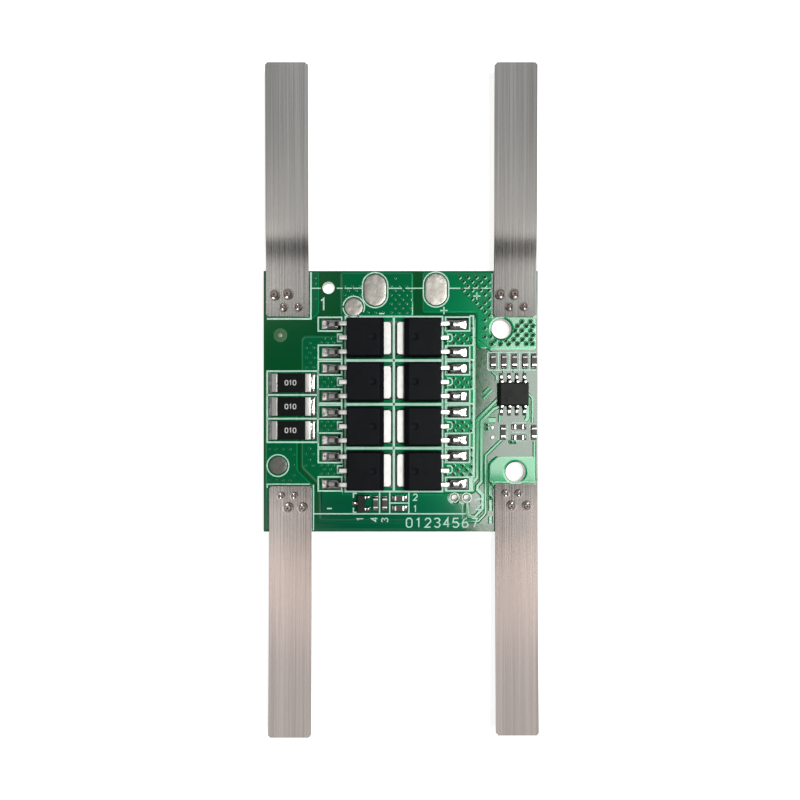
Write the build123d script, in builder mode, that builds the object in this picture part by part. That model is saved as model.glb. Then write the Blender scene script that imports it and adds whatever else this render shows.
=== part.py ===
"""Battery management board: a protection circuit board with four nickel battery strips.

The board lies flat, components up. The origin is the centre of the board's underside, +X runs
across the two columns of power transistors and +Y runs along the nickel strips. Sizes are in mm.
"""
from build123d import *
import os

os.makedirs("parts", exist_ok=True)

# Circuit board, its copper lands and the solder on them
board_thickness = 1.6
land_thickness = 0.1
seat = board_thickness + land_thickness
solder_slope = 60.0

# Power transistors: moulded body, tab under it and gull-wing leads, in two columns of four
mosfet_body_length = 6.1
mosfet_body_width = 6.5
mosfet_body_height = 2.3
mosfet_parting_height = 1.15
mosfet_side_draft = 0.28
mosfet_tab_side_draft = 0.7
mosfet_base_draft = 0.12
mosfet_corner = 0.25
mosfet_tab_width = 5.35
mosfet_tab_reach = 1.15
mosfet_tab_inside = 3.4
mosfet_tab_chamfer = 0.3
mosfet_sheet = 0.5
mosfet_lead_width = 0.76
mosfet_lead_pitch = 2.286
mosfet_lead_flat = 1.2
mosfet_lead_slope = 0.85
mosfet_lead_foot = 0.8
mosfet_lead_rise = 0.9
mosfet_lead_inside = 0.9
mosfet_lead_bend = 0.35
mosfet_stub_reach = 1.15
mosfet_row_gap = 0.7
mosfet_tab_gap = 0.95
mosfet_rows_count = 4
mosfet_lead_land_length = 3.1
mosfet_lead_land_width = 1.6
mosfet_lead_land_toe = 1.35
mosfet_tab_land_margin = 0.2
mosfet_solder_height = 0.3

# Shunt resistors
shunt_length = 6.4
shunt_width = 3.1
shunt_height = 0.65
shunt_cap = 0.95
shunt_plating = 0.08
shunt_coat = 0.04
shunt_row_gap = 0.78
shunt_rows_centre = -0.88
shunt_edge_margin = 0.8
shunt_gap = 1.0
shunt_land_length = 1.8
shunt_land_width = 3.3
shunt_land_toe = 0.65
shunt_solder_height = 0.3

# The board is as long and wide as its zones: shunts on the left, power transistors in the middle,
# controller on the right, wire lands above the transistors and small parts below them
mosfet_edge = mosfet_body_length / 2
mosfet_lead_reach = mosfet_edge + mosfet_lead_flat + mosfet_lead_slope + mosfet_lead_foot
mosfet_column_reach = mosfet_edge + mosfet_tab_reach + mosfet_tab_gap / 2
mosfet_half_block = mosfet_column_reach + mosfet_lead_reach + mosfet_lead_land_toe
mosfet_row_pitch = mosfet_body_width + mosfet_row_gap
shunt_lands_length = shunt_length + 2 * shunt_land_toe
left_zone = shunt_edge_margin + shunt_lands_length + shunt_gap
right_zone = 11.65
upper_zone = 7.5
lower_zone = 6.5
board_length = left_zone + 2 * mosfet_half_block + right_zone
board_width = upper_zone + mosfet_rows_count * mosfet_row_pitch + lower_zone
right_edge = board_length / 2
left_edge = -right_edge
upper_edge = board_width / 2
lower_edge = -upper_edge
block_right_edge = right_edge - right_zone
shunt_x = left_edge + shunt_edge_margin + shunt_lands_length / 2
mosfet_centre_line = left_edge + left_zone + mosfet_half_block
mosfet_columns = {
    "left": (mosfet_centre_line - mosfet_column_reach, -1),
    "right": (mosfet_centre_line + mosfet_column_reach, 1),
}
mosfet_rows_centre = (lower_zone - upper_zone) / 2

# Holes through the board
mounting_hole_diameter = 3.2
mounting_hole_gap = 0.35
mounting_holes_x = {"upper_right": right_edge - 5.95, "lower_right": right_edge - 3.65}
tooling_hole_diameter = 2.0
tooling_hole = (left_edge + 10.65, upper_edge - 2.75)
wire_hole_diameter = 0.95
wire_hole_pitch = 2.0
wire_holes_centre = (block_right_edge - 1.0, lower_edge + 5.6)
plating_thickness = 0.06
plating_rim = 0.33

# Nickel strips, each spot welded to a small plate that is soldered to the board
strip_width = 7.0
strip_thickness = 0.15
strip_lift = 0.8
strip_corner = 0.35
upper_strip_length = 41.05
lower_strip_length = 40.65
weld_plate_length = 4.5
weld_plate_thickness = 0.3
weld_plate_side_margin = 0.3
weld_plate_end_margin = 0.15
strip_land_margin = 0.15
strip_flat_beyond_plate = 0.3
strip_flat_end = 6.0
strip_centres = {
    "upper_left": left_edge + 4.0,
    "upper_right": right_edge - 3.8,
    "lower_left": left_edge + 4.5,
    "lower_right": right_edge - 3.6,
}
strip_inner_ends = {
    "upper_left": upper_edge - 7.55,
    "upper_right": upper_edge - 7.55,
    "lower_left": lower_edge + 7.5,
    "lower_right": lower_edge + 7.85,
}
weld_pitch = 2.35
weld_depth = 0.07
inner_weld_diameter = 1.0
outer_weld_diameter = 1.25
inner_weld_inset = 1.6
outer_weld_inset = 3.65
upper_weld_offsets = (0.45, -1.15)
lower_weld_offsets = (-0.6, 0.7)

# Controller with four pins on each long side
controller_centre = (right_edge - 4.1, 1.15)
controller_length = 4.9
controller_width = 3.9
controller_height = 1.55
controller_standoff = 0.1
controller_parting_height = 0.8
controller_draft = 0.25
controller_corner = 0.15
controller_pitch = 1.27
controller_pins_per_side = 4
controller_pin_width = 0.42
controller_pin_thickness = 0.2
controller_pin_flat = 0.3
controller_pin_slope = 0.25
controller_pin_foot = 0.55
controller_pin_inside = 0.4
controller_mark_diameter = 0.8
controller_mark_depth = 0.05
controller_mark_inset = 0.95
controller_land_length = 1.35
controller_land_width = 0.6
controller_land_toe = 0.45
controller_solder_height = 0.15

# Small transistor with one pin on the left and two on the right
transistor_centre = (-6.45, lower_edge + 4.7)
transistor_length = 2.9
transistor_width = 1.3
transistor_height = 1.05
transistor_standoff = 0.05
transistor_parting_height = 0.55
transistor_draft = 0.12
transistor_corner = 0.08
transistor_pin_width = 0.42
transistor_pin_thickness = 0.13
transistor_pin_pitch = 1.9
transistor_pin_flat = 0.12
transistor_pin_slope = 0.15
transistor_pin_foot = 0.33
transistor_pin_inside = 0.2
transistor_land_length = 0.9
transistor_land_width = 0.75
transistor_land_toe = 0.3
transistor_solder_height = 0.1

# Chip resistors and capacitors, each with its centre and its turn in degrees
chip_length = 1.6
chip_width = 0.8
chip_height = 0.45
chip_cap = 0.32
chip_plating = 0.05
chip_coat = 0.02
chip_land_length = 0.85
chip_land_width = 0.9
chip_land_toe = 0.45
chip_solder_height = 0.2
chip_rows = {
    "top": [
        (right_edge - 7.35, 6.6, 90),
        (right_edge - 5.58, 6.6, 90),
        (right_edge - 3.86, 6.6, 90),
        (right_edge - 2.12, 6.6, 90),
        (right_edge - 0.64, 6.6, 90),
    ],
    "middle": [
        (right_edge - 5.73, -5.1, 90),
        (right_edge - 3.13, -4.2, 0),
        (right_edge - 3.13, -5.92, 0),
        (right_edge - 0.66, -5.1, 90),
    ],
    "bottom": [
        (-4.1, lower_edge + 4.7, 90),
        (-2.6, lower_edge + 4.7, 90),
        (-0.2, lower_edge + 5.52, 0),
        (-0.2, lower_edge + 3.9, 0),
    ],
}

# Bare solder lands that hold no component
wire_land_width = 3.6
wire_land_length = 5.2
wire_lands = [(-4.2, upper_edge - 3.15), (5.8, upper_edge - 3.05)]
round_land_diameter = 2.95
round_lands = [(-7.7, upper_edge - 5.93), (left_edge + 2.35, -10.55)]
fiducial_diameter = 1.1
fiducial = (left_edge + 2.75, 10.85)
spare_land_length = 0.65
spare_lands_x = right_edge - 7.45
spare_lands_y = [-4.3, -5.95]


def step_file(part, name):
    """Labels one finished piece and writes it to its own file."""
    part.label = name
    export_step(part, f"parts/{name}.step")


def facing(x, y, z, turn):
    """A level plane at a point, with its own X turned by so many degrees."""
    return Plane(Location((x, y, z), (0, 0, turn)))


def upright(level):
    """The plane that stands on a level plane along its X: its own Y is up."""
    return Plane(origin=level.origin, x_dir=level.x_dir, z_dir=-level.y_dir)


def bent_sheet(level, points, y, width, thickness, bend=0.0):
    """Sheet metal swept along a path of (x, height) points, at a distance y from the plane's X.

    A bend of zero leaves the corners sharp, as on small pins and where a moulded body hides them.
    """
    side = upright(level)
    start = side.from_local_coords((points[0][0], points[0][1], -y))
    with BuildLine(side.offset(-y)) as path:
        if bend > 0:
            FilletPolyline(*points, radius=bend)
        else:
            Polyline(*points)
    with BuildSketch(Plane(origin=start, x_dir=level.y_dir, z_dir=level.x_dir)) as section:
        Rectangle(width, thickness)
    sweep(section.sketch, path=path.line, transition=Transition.RIGHT)


def gull_wing(level, edge, y, inside, flat, slope, foot, rise, width, thickness, bend=0.0):
    """One lead that leaves a body at its edge, runs level, slopes down and ends in a flat foot."""
    middle = thickness / 2
    points = [
        (edge - inside, rise + middle),
        (edge + flat, rise + middle),
        (edge + flat + slope, middle),
        (edge + flat + slope + foot, middle),
    ]
    bent_sheet(level, points, y, width, thickness, bend)


def moulded_body(level, length, width, standoff, parting, height, drafts, base_draft, corner):
    """A moulded body, widest at its parting line; drafts are its top's (back, front, side) insets."""
    back, front, side = drafts
    with BuildSketch(level.offset(standoff)) as base:
        Rectangle(length - 2 * base_draft, width - 2 * base_draft)
        chamfer(base.vertices(), corner)
    with BuildSketch(level.offset(parting)) as parting_line:
        Rectangle(length, width)
        chamfer(parting_line.vertices(), corner)
    with BuildSketch(level.offset(height)) as top:
        with Locations(((back - front) / 2, 0)):
            Rectangle(length - back - front, width - 2 * side)
        chamfer(top.vertices(), corner)
    loft([base.sketch, parting_line.sketch])
    loft([parting_line.sketch, top.sketch])


def mark(level, x, y, height, diameter, depth):
    """A shallow round mould mark in the top of a body."""
    with BuildSketch(level.offset(height)) as dimple:
        with Locations((x, y)):
            Circle(diameter / 2)
    extrude(dimple.sketch, amount=-depth, mode=Mode.SUBTRACT)


def chip_body(level, length, width, height, cap, plating, coat):
    """The insulating body of a two-ended chip: a core under its end caps and a coat between them."""
    with BuildSketch(level.offset(plating)) as core:
        Rectangle(length - 2 * plating, width)
    extrude(core.sketch, amount=height - 2 * plating)
    with BuildSketch(level.offset(plating)) as coated:
        Rectangle(length - 2 * cap, width)
    extrude(coated.sketch, amount=height - plating + coat)


def chip_caps(level, length, width, height, cap, plating):
    """The two plated end caps, folded over the top and the underside of the body's core."""
    with BuildSketch(level) as ends:
        with GridLocations(length - cap, 0, 2, 1):
            Rectangle(cap, width)
    extrude(ends.sketch, amount=height)
    with BuildSketch(level.offset(plating)) as core:
        Rectangle(length - 2 * plating, width)
    extrude(core.sketch, amount=height - 2 * plating, mode=Mode.SUBTRACT)


def solder_joints(places, land_length, land_width, foot_width, toe, height):
    """Tinned lands with solder banked round a foot; each place is a land's centre and its turn.

    The foot covers the land from its inner end to a toe's length short of its outer end.
    """
    with BuildSketch(Plane.XY.offset(board_thickness)) as lands:
        with Locations(*places):
            Rectangle(land_length, land_width)
    extrude(lands.sketch, amount=land_thickness)
    with BuildSketch(Plane.XY.offset(seat)) as banks:
        with Locations(*places):
            Rectangle(land_length, land_width)
    extrude(banks.sketch, amount=height, taper=solder_slope)
    with BuildSketch(Plane.XY.offset(seat)) as feet:
        with Locations(*places):
            with Locations((-toe / 2, 0)):
                Rectangle(land_length - toe, foot_width)
    extrude(feet.sketch, amount=height, mode=Mode.SUBTRACT)


def land_places(x, y, turn, reach, toe, land_length, offsets=(0,)):
    """Land places for feet that reach so far from a part's centre, along its X at given offsets."""
    part_place = Location((x, y, 0), (0, 0, turn))
    centre = reach + toe - land_length / 2
    return [part_place * Location((centre, offset, 0)) for offset in offsets]


def row_offsets(pitch, count):
    """Evenly spaced distances about zero."""
    return [(i - (count - 1) / 2) * pitch for i in range(count)]


# Board with its mounting, tooling and wire holes
strip_ways = {place: 1 if place.startswith("upper") else -1 for place in strip_centres}
mounting_holes = []
for place, x in mounting_holes_x.items():
    inset = strip_ways[place] * (mounting_hole_gap + mounting_hole_diameter / 2)
    mounting_holes.append((x, strip_inner_ends[place] - inset))
wire_holes = [(wire_holes_centre[0] + dx, wire_holes_centre[1]) for dx in row_offsets(wire_hole_pitch, 2)]
wire_drill_diameter = wire_hole_diameter + 2 * plating_thickness
wire_rim_diameter = wire_hole_diameter + 2 * plating_rim

with BuildPart() as circuit_board:
    with BuildSketch():
        Rectangle(board_length, board_width)
    extrude(amount=board_thickness)
    with BuildSketch():
        with Locations(*mounting_holes):
            Circle(mounting_hole_diameter / 2)
        with Locations(tooling_hole):
            Circle(tooling_hole_diameter / 2)
        with Locations(*wire_holes):
            Circle(wire_drill_diameter / 2)
    extrude(amount=board_thickness, mode=Mode.SUBTRACT)

step_file(circuit_board.part, "circuit_board")

# Plated barrels of the wire holes, level with the underside and with a rim on the top face
with BuildPart() as plated_holes:
    with BuildSketch(Plane.XY.offset(board_thickness)):
        with Locations(*wire_holes):
            Circle(wire_rim_diameter / 2)
    extrude(amount=plating_thickness)
    with BuildSketch():
        with Locations(*wire_holes):
            Circle(wire_drill_diameter / 2)
    extrude(amount=board_thickness)
    with BuildSketch():
        with Locations(*wire_holes):
            Circle(wire_hole_diameter / 2)
    extrude(amount=board_thickness + plating_thickness, mode=Mode.SUBTRACT)

step_file(plated_holes.part, "plated_holes")

# Bare lands: two for wires, two round ones, the fiducial and the two of a chip that isn't fitted
with BuildPart() as bare_lands:
    with BuildSketch(Plane.XY.offset(board_thickness)):
        with Locations(*wire_lands):
            SlotOverall(wire_land_length, wire_land_width, rotation=90)
        with Locations(*round_lands):
            Circle(round_land_diameter / 2)
        with Locations(fiducial):
            Circle(fiducial_diameter / 2)
        with Locations(*[(spare_lands_x, y) for y in spare_lands_y]):
            Rectangle(spare_land_length, spare_land_length)
    extrude(amount=land_thickness)

step_file(bare_lands.part, "bare_lands")

# Weld plates on their lands, and the nickel strips welded to them
strip_bottom = seat + weld_plate_thickness
strip_top = strip_bottom + strip_thickness
weld_plate_width = strip_width - 2 * weld_plate_side_margin
weld_plate_reach = weld_plate_end_margin + weld_plate_length / 2

with BuildPart() as strip_lands:
    with BuildSketch(Plane.XY.offset(board_thickness)):
        for place, x in strip_centres.items():
            with Locations((x, strip_inner_ends[place] + strip_ways[place] * weld_plate_reach)):
                Rectangle(weld_plate_width + 2 * strip_land_margin, weld_plate_length + 2 * strip_land_margin)
    extrude(amount=land_thickness)

step_file(strip_lands.part, "strip_lands")


def weld_dents(x, y, diameter):
    """A pair of round dents that the welding electrodes left, as caps cut by a large sphere."""
    radius = ((diameter / 2) ** 2 + weld_depth**2) / (2 * weld_depth)
    with Locations(*[(x + dx, y, strip_top - weld_depth + radius) for dx in row_offsets(weld_pitch, 2)]):
        Sphere(radius, mode=Mode.SUBTRACT)


for place, x in strip_centres.items():
    inner_end = strip_inner_ends[place]
    way = strip_ways[place]
    with BuildPart() as weld_plate:
        with BuildSketch(Plane.XY.offset(seat)):
            with Locations((x, inner_end + way * weld_plate_reach)):
                Rectangle(weld_plate_width, weld_plate_length)
        extrude(amount=weld_plate_thickness)

    step_file(weld_plate.part, f"weld_plate_{place}")

    # Level over its plate, then bowed up in two arcs that meet halfway, and level again at its end
    length = upper_strip_length if way > 0 else lower_strip_length
    bow_start = weld_plate_end_margin + weld_plate_length + strip_flat_beyond_plate
    bow_end = length - strip_flat_end
    halfway = (bow_start + bow_end) / 2
    side = Plane(origin=(x, inner_end, strip_bottom), x_dir=(0, way, 0), z_dir=(way, 0, 0))
    with BuildPart() as nickel_strip:
        with BuildSketch(side):
            with BuildLine():
                for z in (0, strip_thickness):
                    Line((0, z), (bow_start, z))
                    TangentArc((bow_start, z), (halfway, z + strip_lift / 2), tangent=(1, 0))
                    TangentArc((bow_end, z + strip_lift), (halfway, z + strip_lift / 2), tangent=(-1, 0))
                    Line((bow_end, z + strip_lift), (length, z + strip_lift))
                Line((0, 0), (0, strip_thickness))
                Line((length, strip_lift), (length, strip_lift + strip_thickness))
            make_face()
        extrude(amount=strip_width / 2, both=True)
        chamfer(nickel_strip.edges().filter_by(Axis.Z), strip_corner)
        inner_shift, outer_shift = upper_weld_offsets if way > 0 else lower_weld_offsets
        weld_dents(x + inner_shift, inner_end + way * inner_weld_inset, inner_weld_diameter)
        weld_dents(x + outer_shift, inner_end + way * outer_weld_inset, outer_weld_diameter)

    step_file(nickel_strip.part, f"nickel_strip_{place}")

# Power transistors, numbered down the left column and then down the right one
mosfet_tab_length = mosfet_tab_reach + mosfet_tab_inside
mosfet_tab_centre = mosfet_tab_length / 2 - mosfet_edge - mosfet_tab_reach
mosfet_lead_offsets = [-mosfet_lead_pitch, mosfet_lead_pitch]
mosfet_rows = [mosfet_rows_centre - dy for dy in row_offsets(mosfet_row_pitch, mosfet_rows_count)]
mosfet_places = []
for x, way in mosfet_columns.values():
    for y in mosfet_rows:
        mosfet_places.append((x, y, 0 if way > 0 else 180))

for number, (x, y, turn) in enumerate(mosfet_places, start=1):
    level = facing(x, y, seat, turn)
    with BuildPart() as leadframe:
        with BuildSketch(level) as tab:
            with Locations((mosfet_tab_centre, 0)):
                Rectangle(mosfet_tab_length, mosfet_tab_width)
        extrude(amount=mosfet_sheet)
        outer_face = leadframe.faces().sort_by_distance(level.from_local_coords((-2 * mosfet_edge, 0, 0)))[0]
        chamfer(outer_face.edges().filter_by(Axis.Z), mosfet_tab_chamfer)
        tab_end = mosfet_tab_inside - mosfet_edge
        tab_middle = mosfet_sheet / 2
        stub_height = mosfet_lead_rise + tab_middle
        link = [
            (tab_end - mosfet_lead_inside, tab_middle),
            (tab_end + mosfet_lead_bend, tab_middle),
            (tab_end + mosfet_lead_bend + mosfet_lead_slope, stub_height),
            (mosfet_edge + mosfet_stub_reach, stub_height),
        ]
        bent_sheet(level, link, 0, mosfet_lead_width, mosfet_sheet)
        for offset in mosfet_lead_offsets:
            gull_wing(
                level, mosfet_edge, offset, mosfet_lead_inside, mosfet_lead_flat, mosfet_lead_slope,
                mosfet_lead_foot, mosfet_lead_rise, mosfet_lead_width, mosfet_sheet, mosfet_lead_bend,
            )
    with BuildPart() as mosfet_body:
        drafts = (mosfet_tab_side_draft, mosfet_side_draft, mosfet_side_draft)
        moulded_body(
            level, mosfet_body_length, mosfet_body_width, 0, mosfet_parting_height,
            mosfet_body_height, drafts, mosfet_base_draft, mosfet_corner,
        )
        add(leadframe.part, mode=Mode.SUBTRACT)

    step_file(leadframe.part, f"mosfet_leadframe_{number}")
    step_file(mosfet_body.part, f"mosfet_body_{number}")

with BuildPart() as mosfet_solder:
    places = []
    for x, y, turn in mosfet_places:
        places += land_places(
            x, y, turn, mosfet_lead_reach, mosfet_lead_land_toe, mosfet_lead_land_length, mosfet_lead_offsets,
        )
    solder_joints(
        places, mosfet_lead_land_length, mosfet_lead_land_width, mosfet_lead_width,
        mosfet_lead_land_toe, mosfet_solder_height,
    )
    with BuildSketch(Plane.XY.offset(board_thickness)):
        for x, y, turn in mosfet_places:
            with Locations(Location((x, y), turn)):
                with Locations((mosfet_tab_centre, 0)):
                    Rectangle(
                        mosfet_tab_length + 2 * mosfet_tab_land_margin,
                        mosfet_tab_width + 2 * mosfet_tab_land_margin,
                    )
    extrude(amount=land_thickness)

step_file(mosfet_solder.part, "mosfet_solder")

# Shunt resistors
shunt_rows = [shunt_rows_centre - dy for dy in row_offsets(shunt_width + shunt_row_gap, 3)]

for number, y in enumerate(shunt_rows, start=1):
    level = facing(shunt_x, y, seat, 0)
    with BuildPart() as shunt_body:
        chip_body(level, shunt_length, shunt_width, shunt_height, shunt_cap, shunt_plating, shunt_coat)
    with BuildPart() as shunt_terminals:
        chip_caps(level, shunt_length, shunt_width, shunt_height, shunt_cap, shunt_plating)

    step_file(shunt_body.part, f"shunt_body_{number}")
    step_file(shunt_terminals.part, f"shunt_terminals_{number}")

with BuildPart() as shunt_solder:
    places = []
    for y in shunt_rows:
        for turn in (0, 180):
            places += land_places(shunt_x, y, turn, shunt_length / 2, shunt_land_toe, shunt_land_length)
    solder_joints(
        places, shunt_land_length, shunt_land_width, shunt_width, shunt_land_toe, shunt_solder_height,
    )

step_file(shunt_solder.part, "shunt_solder")

# Controller, with its pins on the sides that face along Y
controller_x, controller_y = controller_centre
controller_edge = controller_width / 2
controller_reach = controller_edge + controller_pin_flat + controller_pin_slope + controller_pin_foot
controller_offsets = row_offsets(controller_pitch, controller_pins_per_side)
controller_turns = (90, -90)
controller_pin_rise = controller_parting_height - controller_pin_thickness / 2

with BuildPart() as controller_pins:
    for turn in controller_turns:
        level = facing(controller_x, controller_y, seat, turn)
        for offset in controller_offsets:
            gull_wing(
                level, controller_edge, offset, controller_pin_inside, controller_pin_flat,
                controller_pin_slope, controller_pin_foot, controller_pin_rise, controller_pin_width,
                controller_pin_thickness,
            )

with BuildPart() as controller_body:
    level = facing(controller_x, controller_y, seat, 0)
    moulded_body(
        level, controller_length, controller_width, controller_standoff, controller_parting_height,
        controller_height, (controller_draft,) * 3, controller_draft / 2, controller_corner,
    )
    mark_x = controller_mark_inset - controller_length / 2
    mark_y = controller_mark_inset - controller_width / 2
    mark(level, mark_x, mark_y, controller_height, controller_mark_diameter, controller_mark_depth)
    add(controller_pins.part, mode=Mode.SUBTRACT)

step_file(controller_pins.part, "controller_pins")
step_file(controller_body.part, "controller_body")

# Small transistor
transistor_x, transistor_y = transistor_centre
transistor_edge = transistor_width / 2
transistor_reach = transistor_edge + transistor_pin_flat + transistor_pin_slope + transistor_pin_foot
transistor_pins_by_turn = {180: [0], 0: row_offsets(transistor_pin_pitch, 2)}
transistor_pin_rise = transistor_parting_height - transistor_pin_thickness / 2

with BuildPart() as transistor_pins:
    for turn, offsets in transistor_pins_by_turn.items():
        level = facing(transistor_x, transistor_y, seat, turn)
        for offset in offsets:
            gull_wing(
                level, transistor_edge, offset, transistor_pin_inside, transistor_pin_flat,
                transistor_pin_slope, transistor_pin_foot, transistor_pin_rise, transistor_pin_width,
                transistor_pin_thickness,
            )

with BuildPart() as transistor_body:
    moulded_body(
        facing(transistor_x, transistor_y, seat, 90), transistor_length, transistor_width,
        transistor_standoff, transistor_parting_height, transistor_height,
        (transistor_draft,) * 3, transistor_draft / 2, transistor_corner,
    )
    add(transistor_pins.part, mode=Mode.SUBTRACT)

step_file(transistor_pins.part, "transistor_pins")
step_file(transistor_body.part, "transistor_body")

# Chip resistors and capacitors
for row, chips in chip_rows.items():
    for number, (x, y, turn) in enumerate(chips, start=1):
        with BuildPart() as chip:
            chip_body(
                facing(x, y, seat, turn), chip_length, chip_width, chip_height, chip_cap,
                chip_plating, chip_coat,
            )

        step_file(chip.part, f"chip_{row}_{number}")

    with BuildPart() as chip_terminals:
        for x, y, turn in chips:
            level = facing(x, y, seat, turn)
            chip_caps(level, chip_length, chip_width, chip_height, chip_cap, chip_plating)

    step_file(chip_terminals.part, f"chip_terminals_{row}")

# Solder under the small parts
with BuildPart() as small_part_solder:
    places = []
    for turn in controller_turns:
        places += land_places(
            controller_x, controller_y, turn, controller_reach, controller_land_toe,
            controller_land_length, controller_offsets,
        )
    solder_joints(
        places, controller_land_length, controller_land_width, controller_pin_width,
        controller_land_toe, controller_solder_height,
    )
    places = []
    for turn, offsets in transistor_pins_by_turn.items():
        places += land_places(
            transistor_x, transistor_y, turn, transistor_reach, transistor_land_toe,
            transistor_land_length, offsets,
        )
    solder_joints(
        places, transistor_land_length, transistor_land_width, transistor_pin_width,
        transistor_land_toe, transistor_solder_height,
    )
    places = []
    for x, y, turn in sum(chip_rows.values(), []):
        for end in (0, 180):
            places += land_places(x, y, turn + end, chip_length / 2, chip_land_toe, chip_land_length)
    solder_joints(
        places, chip_land_length, chip_land_width, chip_width, chip_land_toe, chip_solder_height,
    )

step_file(small_part_solder.part, "small_part_solder")
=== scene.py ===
"""Battery management board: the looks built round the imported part.

Lengths are in millimetres, in the part's frame, until make_piece turns them into metres.
"""

import math

import bpy
import numpy as np
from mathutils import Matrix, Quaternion, Vector
from mathutils.geometry import tessellate_polygon


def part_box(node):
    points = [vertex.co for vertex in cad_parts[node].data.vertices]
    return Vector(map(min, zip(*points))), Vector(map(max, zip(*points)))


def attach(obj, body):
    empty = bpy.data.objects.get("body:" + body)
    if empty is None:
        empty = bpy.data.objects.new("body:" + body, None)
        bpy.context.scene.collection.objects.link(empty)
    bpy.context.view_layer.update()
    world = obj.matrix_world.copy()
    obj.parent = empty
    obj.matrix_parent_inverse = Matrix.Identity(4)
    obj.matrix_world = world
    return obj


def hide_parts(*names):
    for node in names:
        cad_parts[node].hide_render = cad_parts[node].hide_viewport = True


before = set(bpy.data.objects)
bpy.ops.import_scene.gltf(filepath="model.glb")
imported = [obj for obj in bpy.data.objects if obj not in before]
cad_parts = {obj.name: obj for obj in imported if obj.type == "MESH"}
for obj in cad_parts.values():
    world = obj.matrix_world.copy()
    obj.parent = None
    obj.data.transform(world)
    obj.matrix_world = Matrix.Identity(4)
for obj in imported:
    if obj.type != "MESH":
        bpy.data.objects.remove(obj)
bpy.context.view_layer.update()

MM = 0.001
BOARD_TOP = 1.6
COPPER_TOP = 1.635
SILK_TOP = 1.665
SILK_WIDTH = 0.24
SEAT = 1.7


# Shader tools


class Value:
    """A node output that works like a number, through Math nodes."""

    def __init__(self, shader, socket):
        self.shader = shader
        self.socket = socket

    def __add__(self, other):
        return self.shader.maths("ADD", self, other)

    def __sub__(self, other):
        return self.shader.maths("SUBTRACT", self, other)

    def __rsub__(self, other):
        return self.shader.maths("SUBTRACT", other, self)

    def __mul__(self, other):
        return self.shader.maths("MULTIPLY", self, other)

    def __abs__(self):
        return self.shader.maths("ABSOLUTE", self)

    __radd__ = __add__
    __rmul__ = __mul__


class Shader:
    """The nodes of one material, or of the world."""

    def __init__(self, name, library=bpy.data.materials):
        self.material = library.new(name)
        self.material.use_nodes = True
        self.tree = self.material.node_tree
        self.tree.nodes.clear()

    def node(self, kind, settings, values, result=0):
        """Adds a node: first its settings, then its sockets' values or links. Gives one output."""
        made = self.tree.nodes.new("ShaderNode" + kind)
        for key, setting in settings.items():
            if key == "stops":
                ramp = made.color_ramp
                while len(ramp.elements) < len(setting):
                    ramp.elements.new(1.0)
                for element, (position, color) in zip(ramp.elements, setting):
                    element.position = position
                    element.color = (*color, 1)
            else:
                setattr(made, key, setting)
        for key, value in values.items():
            socket = made.inputs[key]
            if isinstance(value, Value):
                self.tree.links.new(value.socket, socket)
            else:
                socket.default_value = (*value, 1) if socket.type == "RGBA" else value
        return Value(self, made.outputs[result]) if made.outputs else None

    def maths(self, operation, first, second=0.0):
        return self.node("Math", {"operation": operation}, {0: first, 1: second})

    def coordinates(self, kind):
        return self.node("TexCoord", {}, {}, kind)

    def attribute(self, name):
        """A number that mark() put on the piece."""
        return self.node("Attribute", {"attribute_name": name}, {}, "Fac")

    def place(self, scale):
        """Object coordinates in metres, stretched by a factor along each axis."""
        values = {0: self.coordinates("Object"), 1: scale}
        return self.node("VectorMath", {"operation": "MULTIPLY"}, values)

    def part_of(self, vector, axis):
        return self.node("SeparateXYZ", {}, {0: vector}, axis)

    def mm(self, axis):
        """The place along an axis, in millimetres."""
        return self.part_of(self.place((1 / MM, 1 / MM, 1 / MM)), axis)

    def upward(self):
        """How far the surface faces up: its normal's z."""
        return self.part_of(self.coordinates("Normal"), 2)

    def noise(self, size, detail=2.0, stretch=(1, 1, 1)):
        """Noise about 0.5 whose grains are this many millimetres across."""
        values = {"Vector": self.place(stretch), "Scale": 1 / (size * MM), "Detail": detail}
        return self.node("TexNoise", {}, values)

    def between(self, value, low, high, start=0.0, end=1.0):
        """The value moved from the range low to high into start to end, and held there."""
        ends = {"From Min": low, "From Max": high, "To Min": start, "To Max": end}
        return self.node("MapRange", {"clamp": True}, {"Value": value, **ends})

    def left_front(self, x0, x1, y0, y1):
        """1 at the board's left and front, falling to 0 from x0 to x1 and from y0 to y1."""
        return self.between(self.mm(0), x0, x1, 1, 0) * self.between(self.mm(1), y0, y1, 1, 0)

    def blend(self, factor, first, second):
        """A colour between two colours."""
        return self.node("Mix", {"data_type": "RGBA"}, {0: factor, 6: first, 7: second}, 2)

    def ramp(self, value, stops):
        """A colour read from stops, each a position and a colour."""
        return self.node("ValToRGB", {"stops": stops}, {0: value})

    def surface(self, color, roughness, relief=None, **others):
        """Ends the material in a Principled surface.

        Relief is a height of 0 to 1 and how many millimetres it stands for. The other values carry
        their sockets' names, with _ for a space.
        """
        values = {"Base Color": color, "Roughness": roughness}
        values.update({key.replace("_", " "): value for key, value in others.items()})
        if relief:
            height, depth = relief
            values["Normal"] = self.node("Bump", {}, {"Height": height, "Distance": depth * MM})
        self.node("OutputMaterial", {}, {"Surface": self.node("BsdfPrincipled", {}, values)})
        return self.material


# Materials


def mask_surface(shader, color, roughness, **others):
    """Glossy solder mask: a faint orange peel and small differences in gloss."""
    peel = shader.noise(0.9, 3.0)
    fine = shader.noise(0.12)
    roughness = roughness + 0.05 * fine + 0.04 * peel
    return shader.surface(color, roughness, (peel + 0.15 * fine, 0.005), **others)


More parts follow.
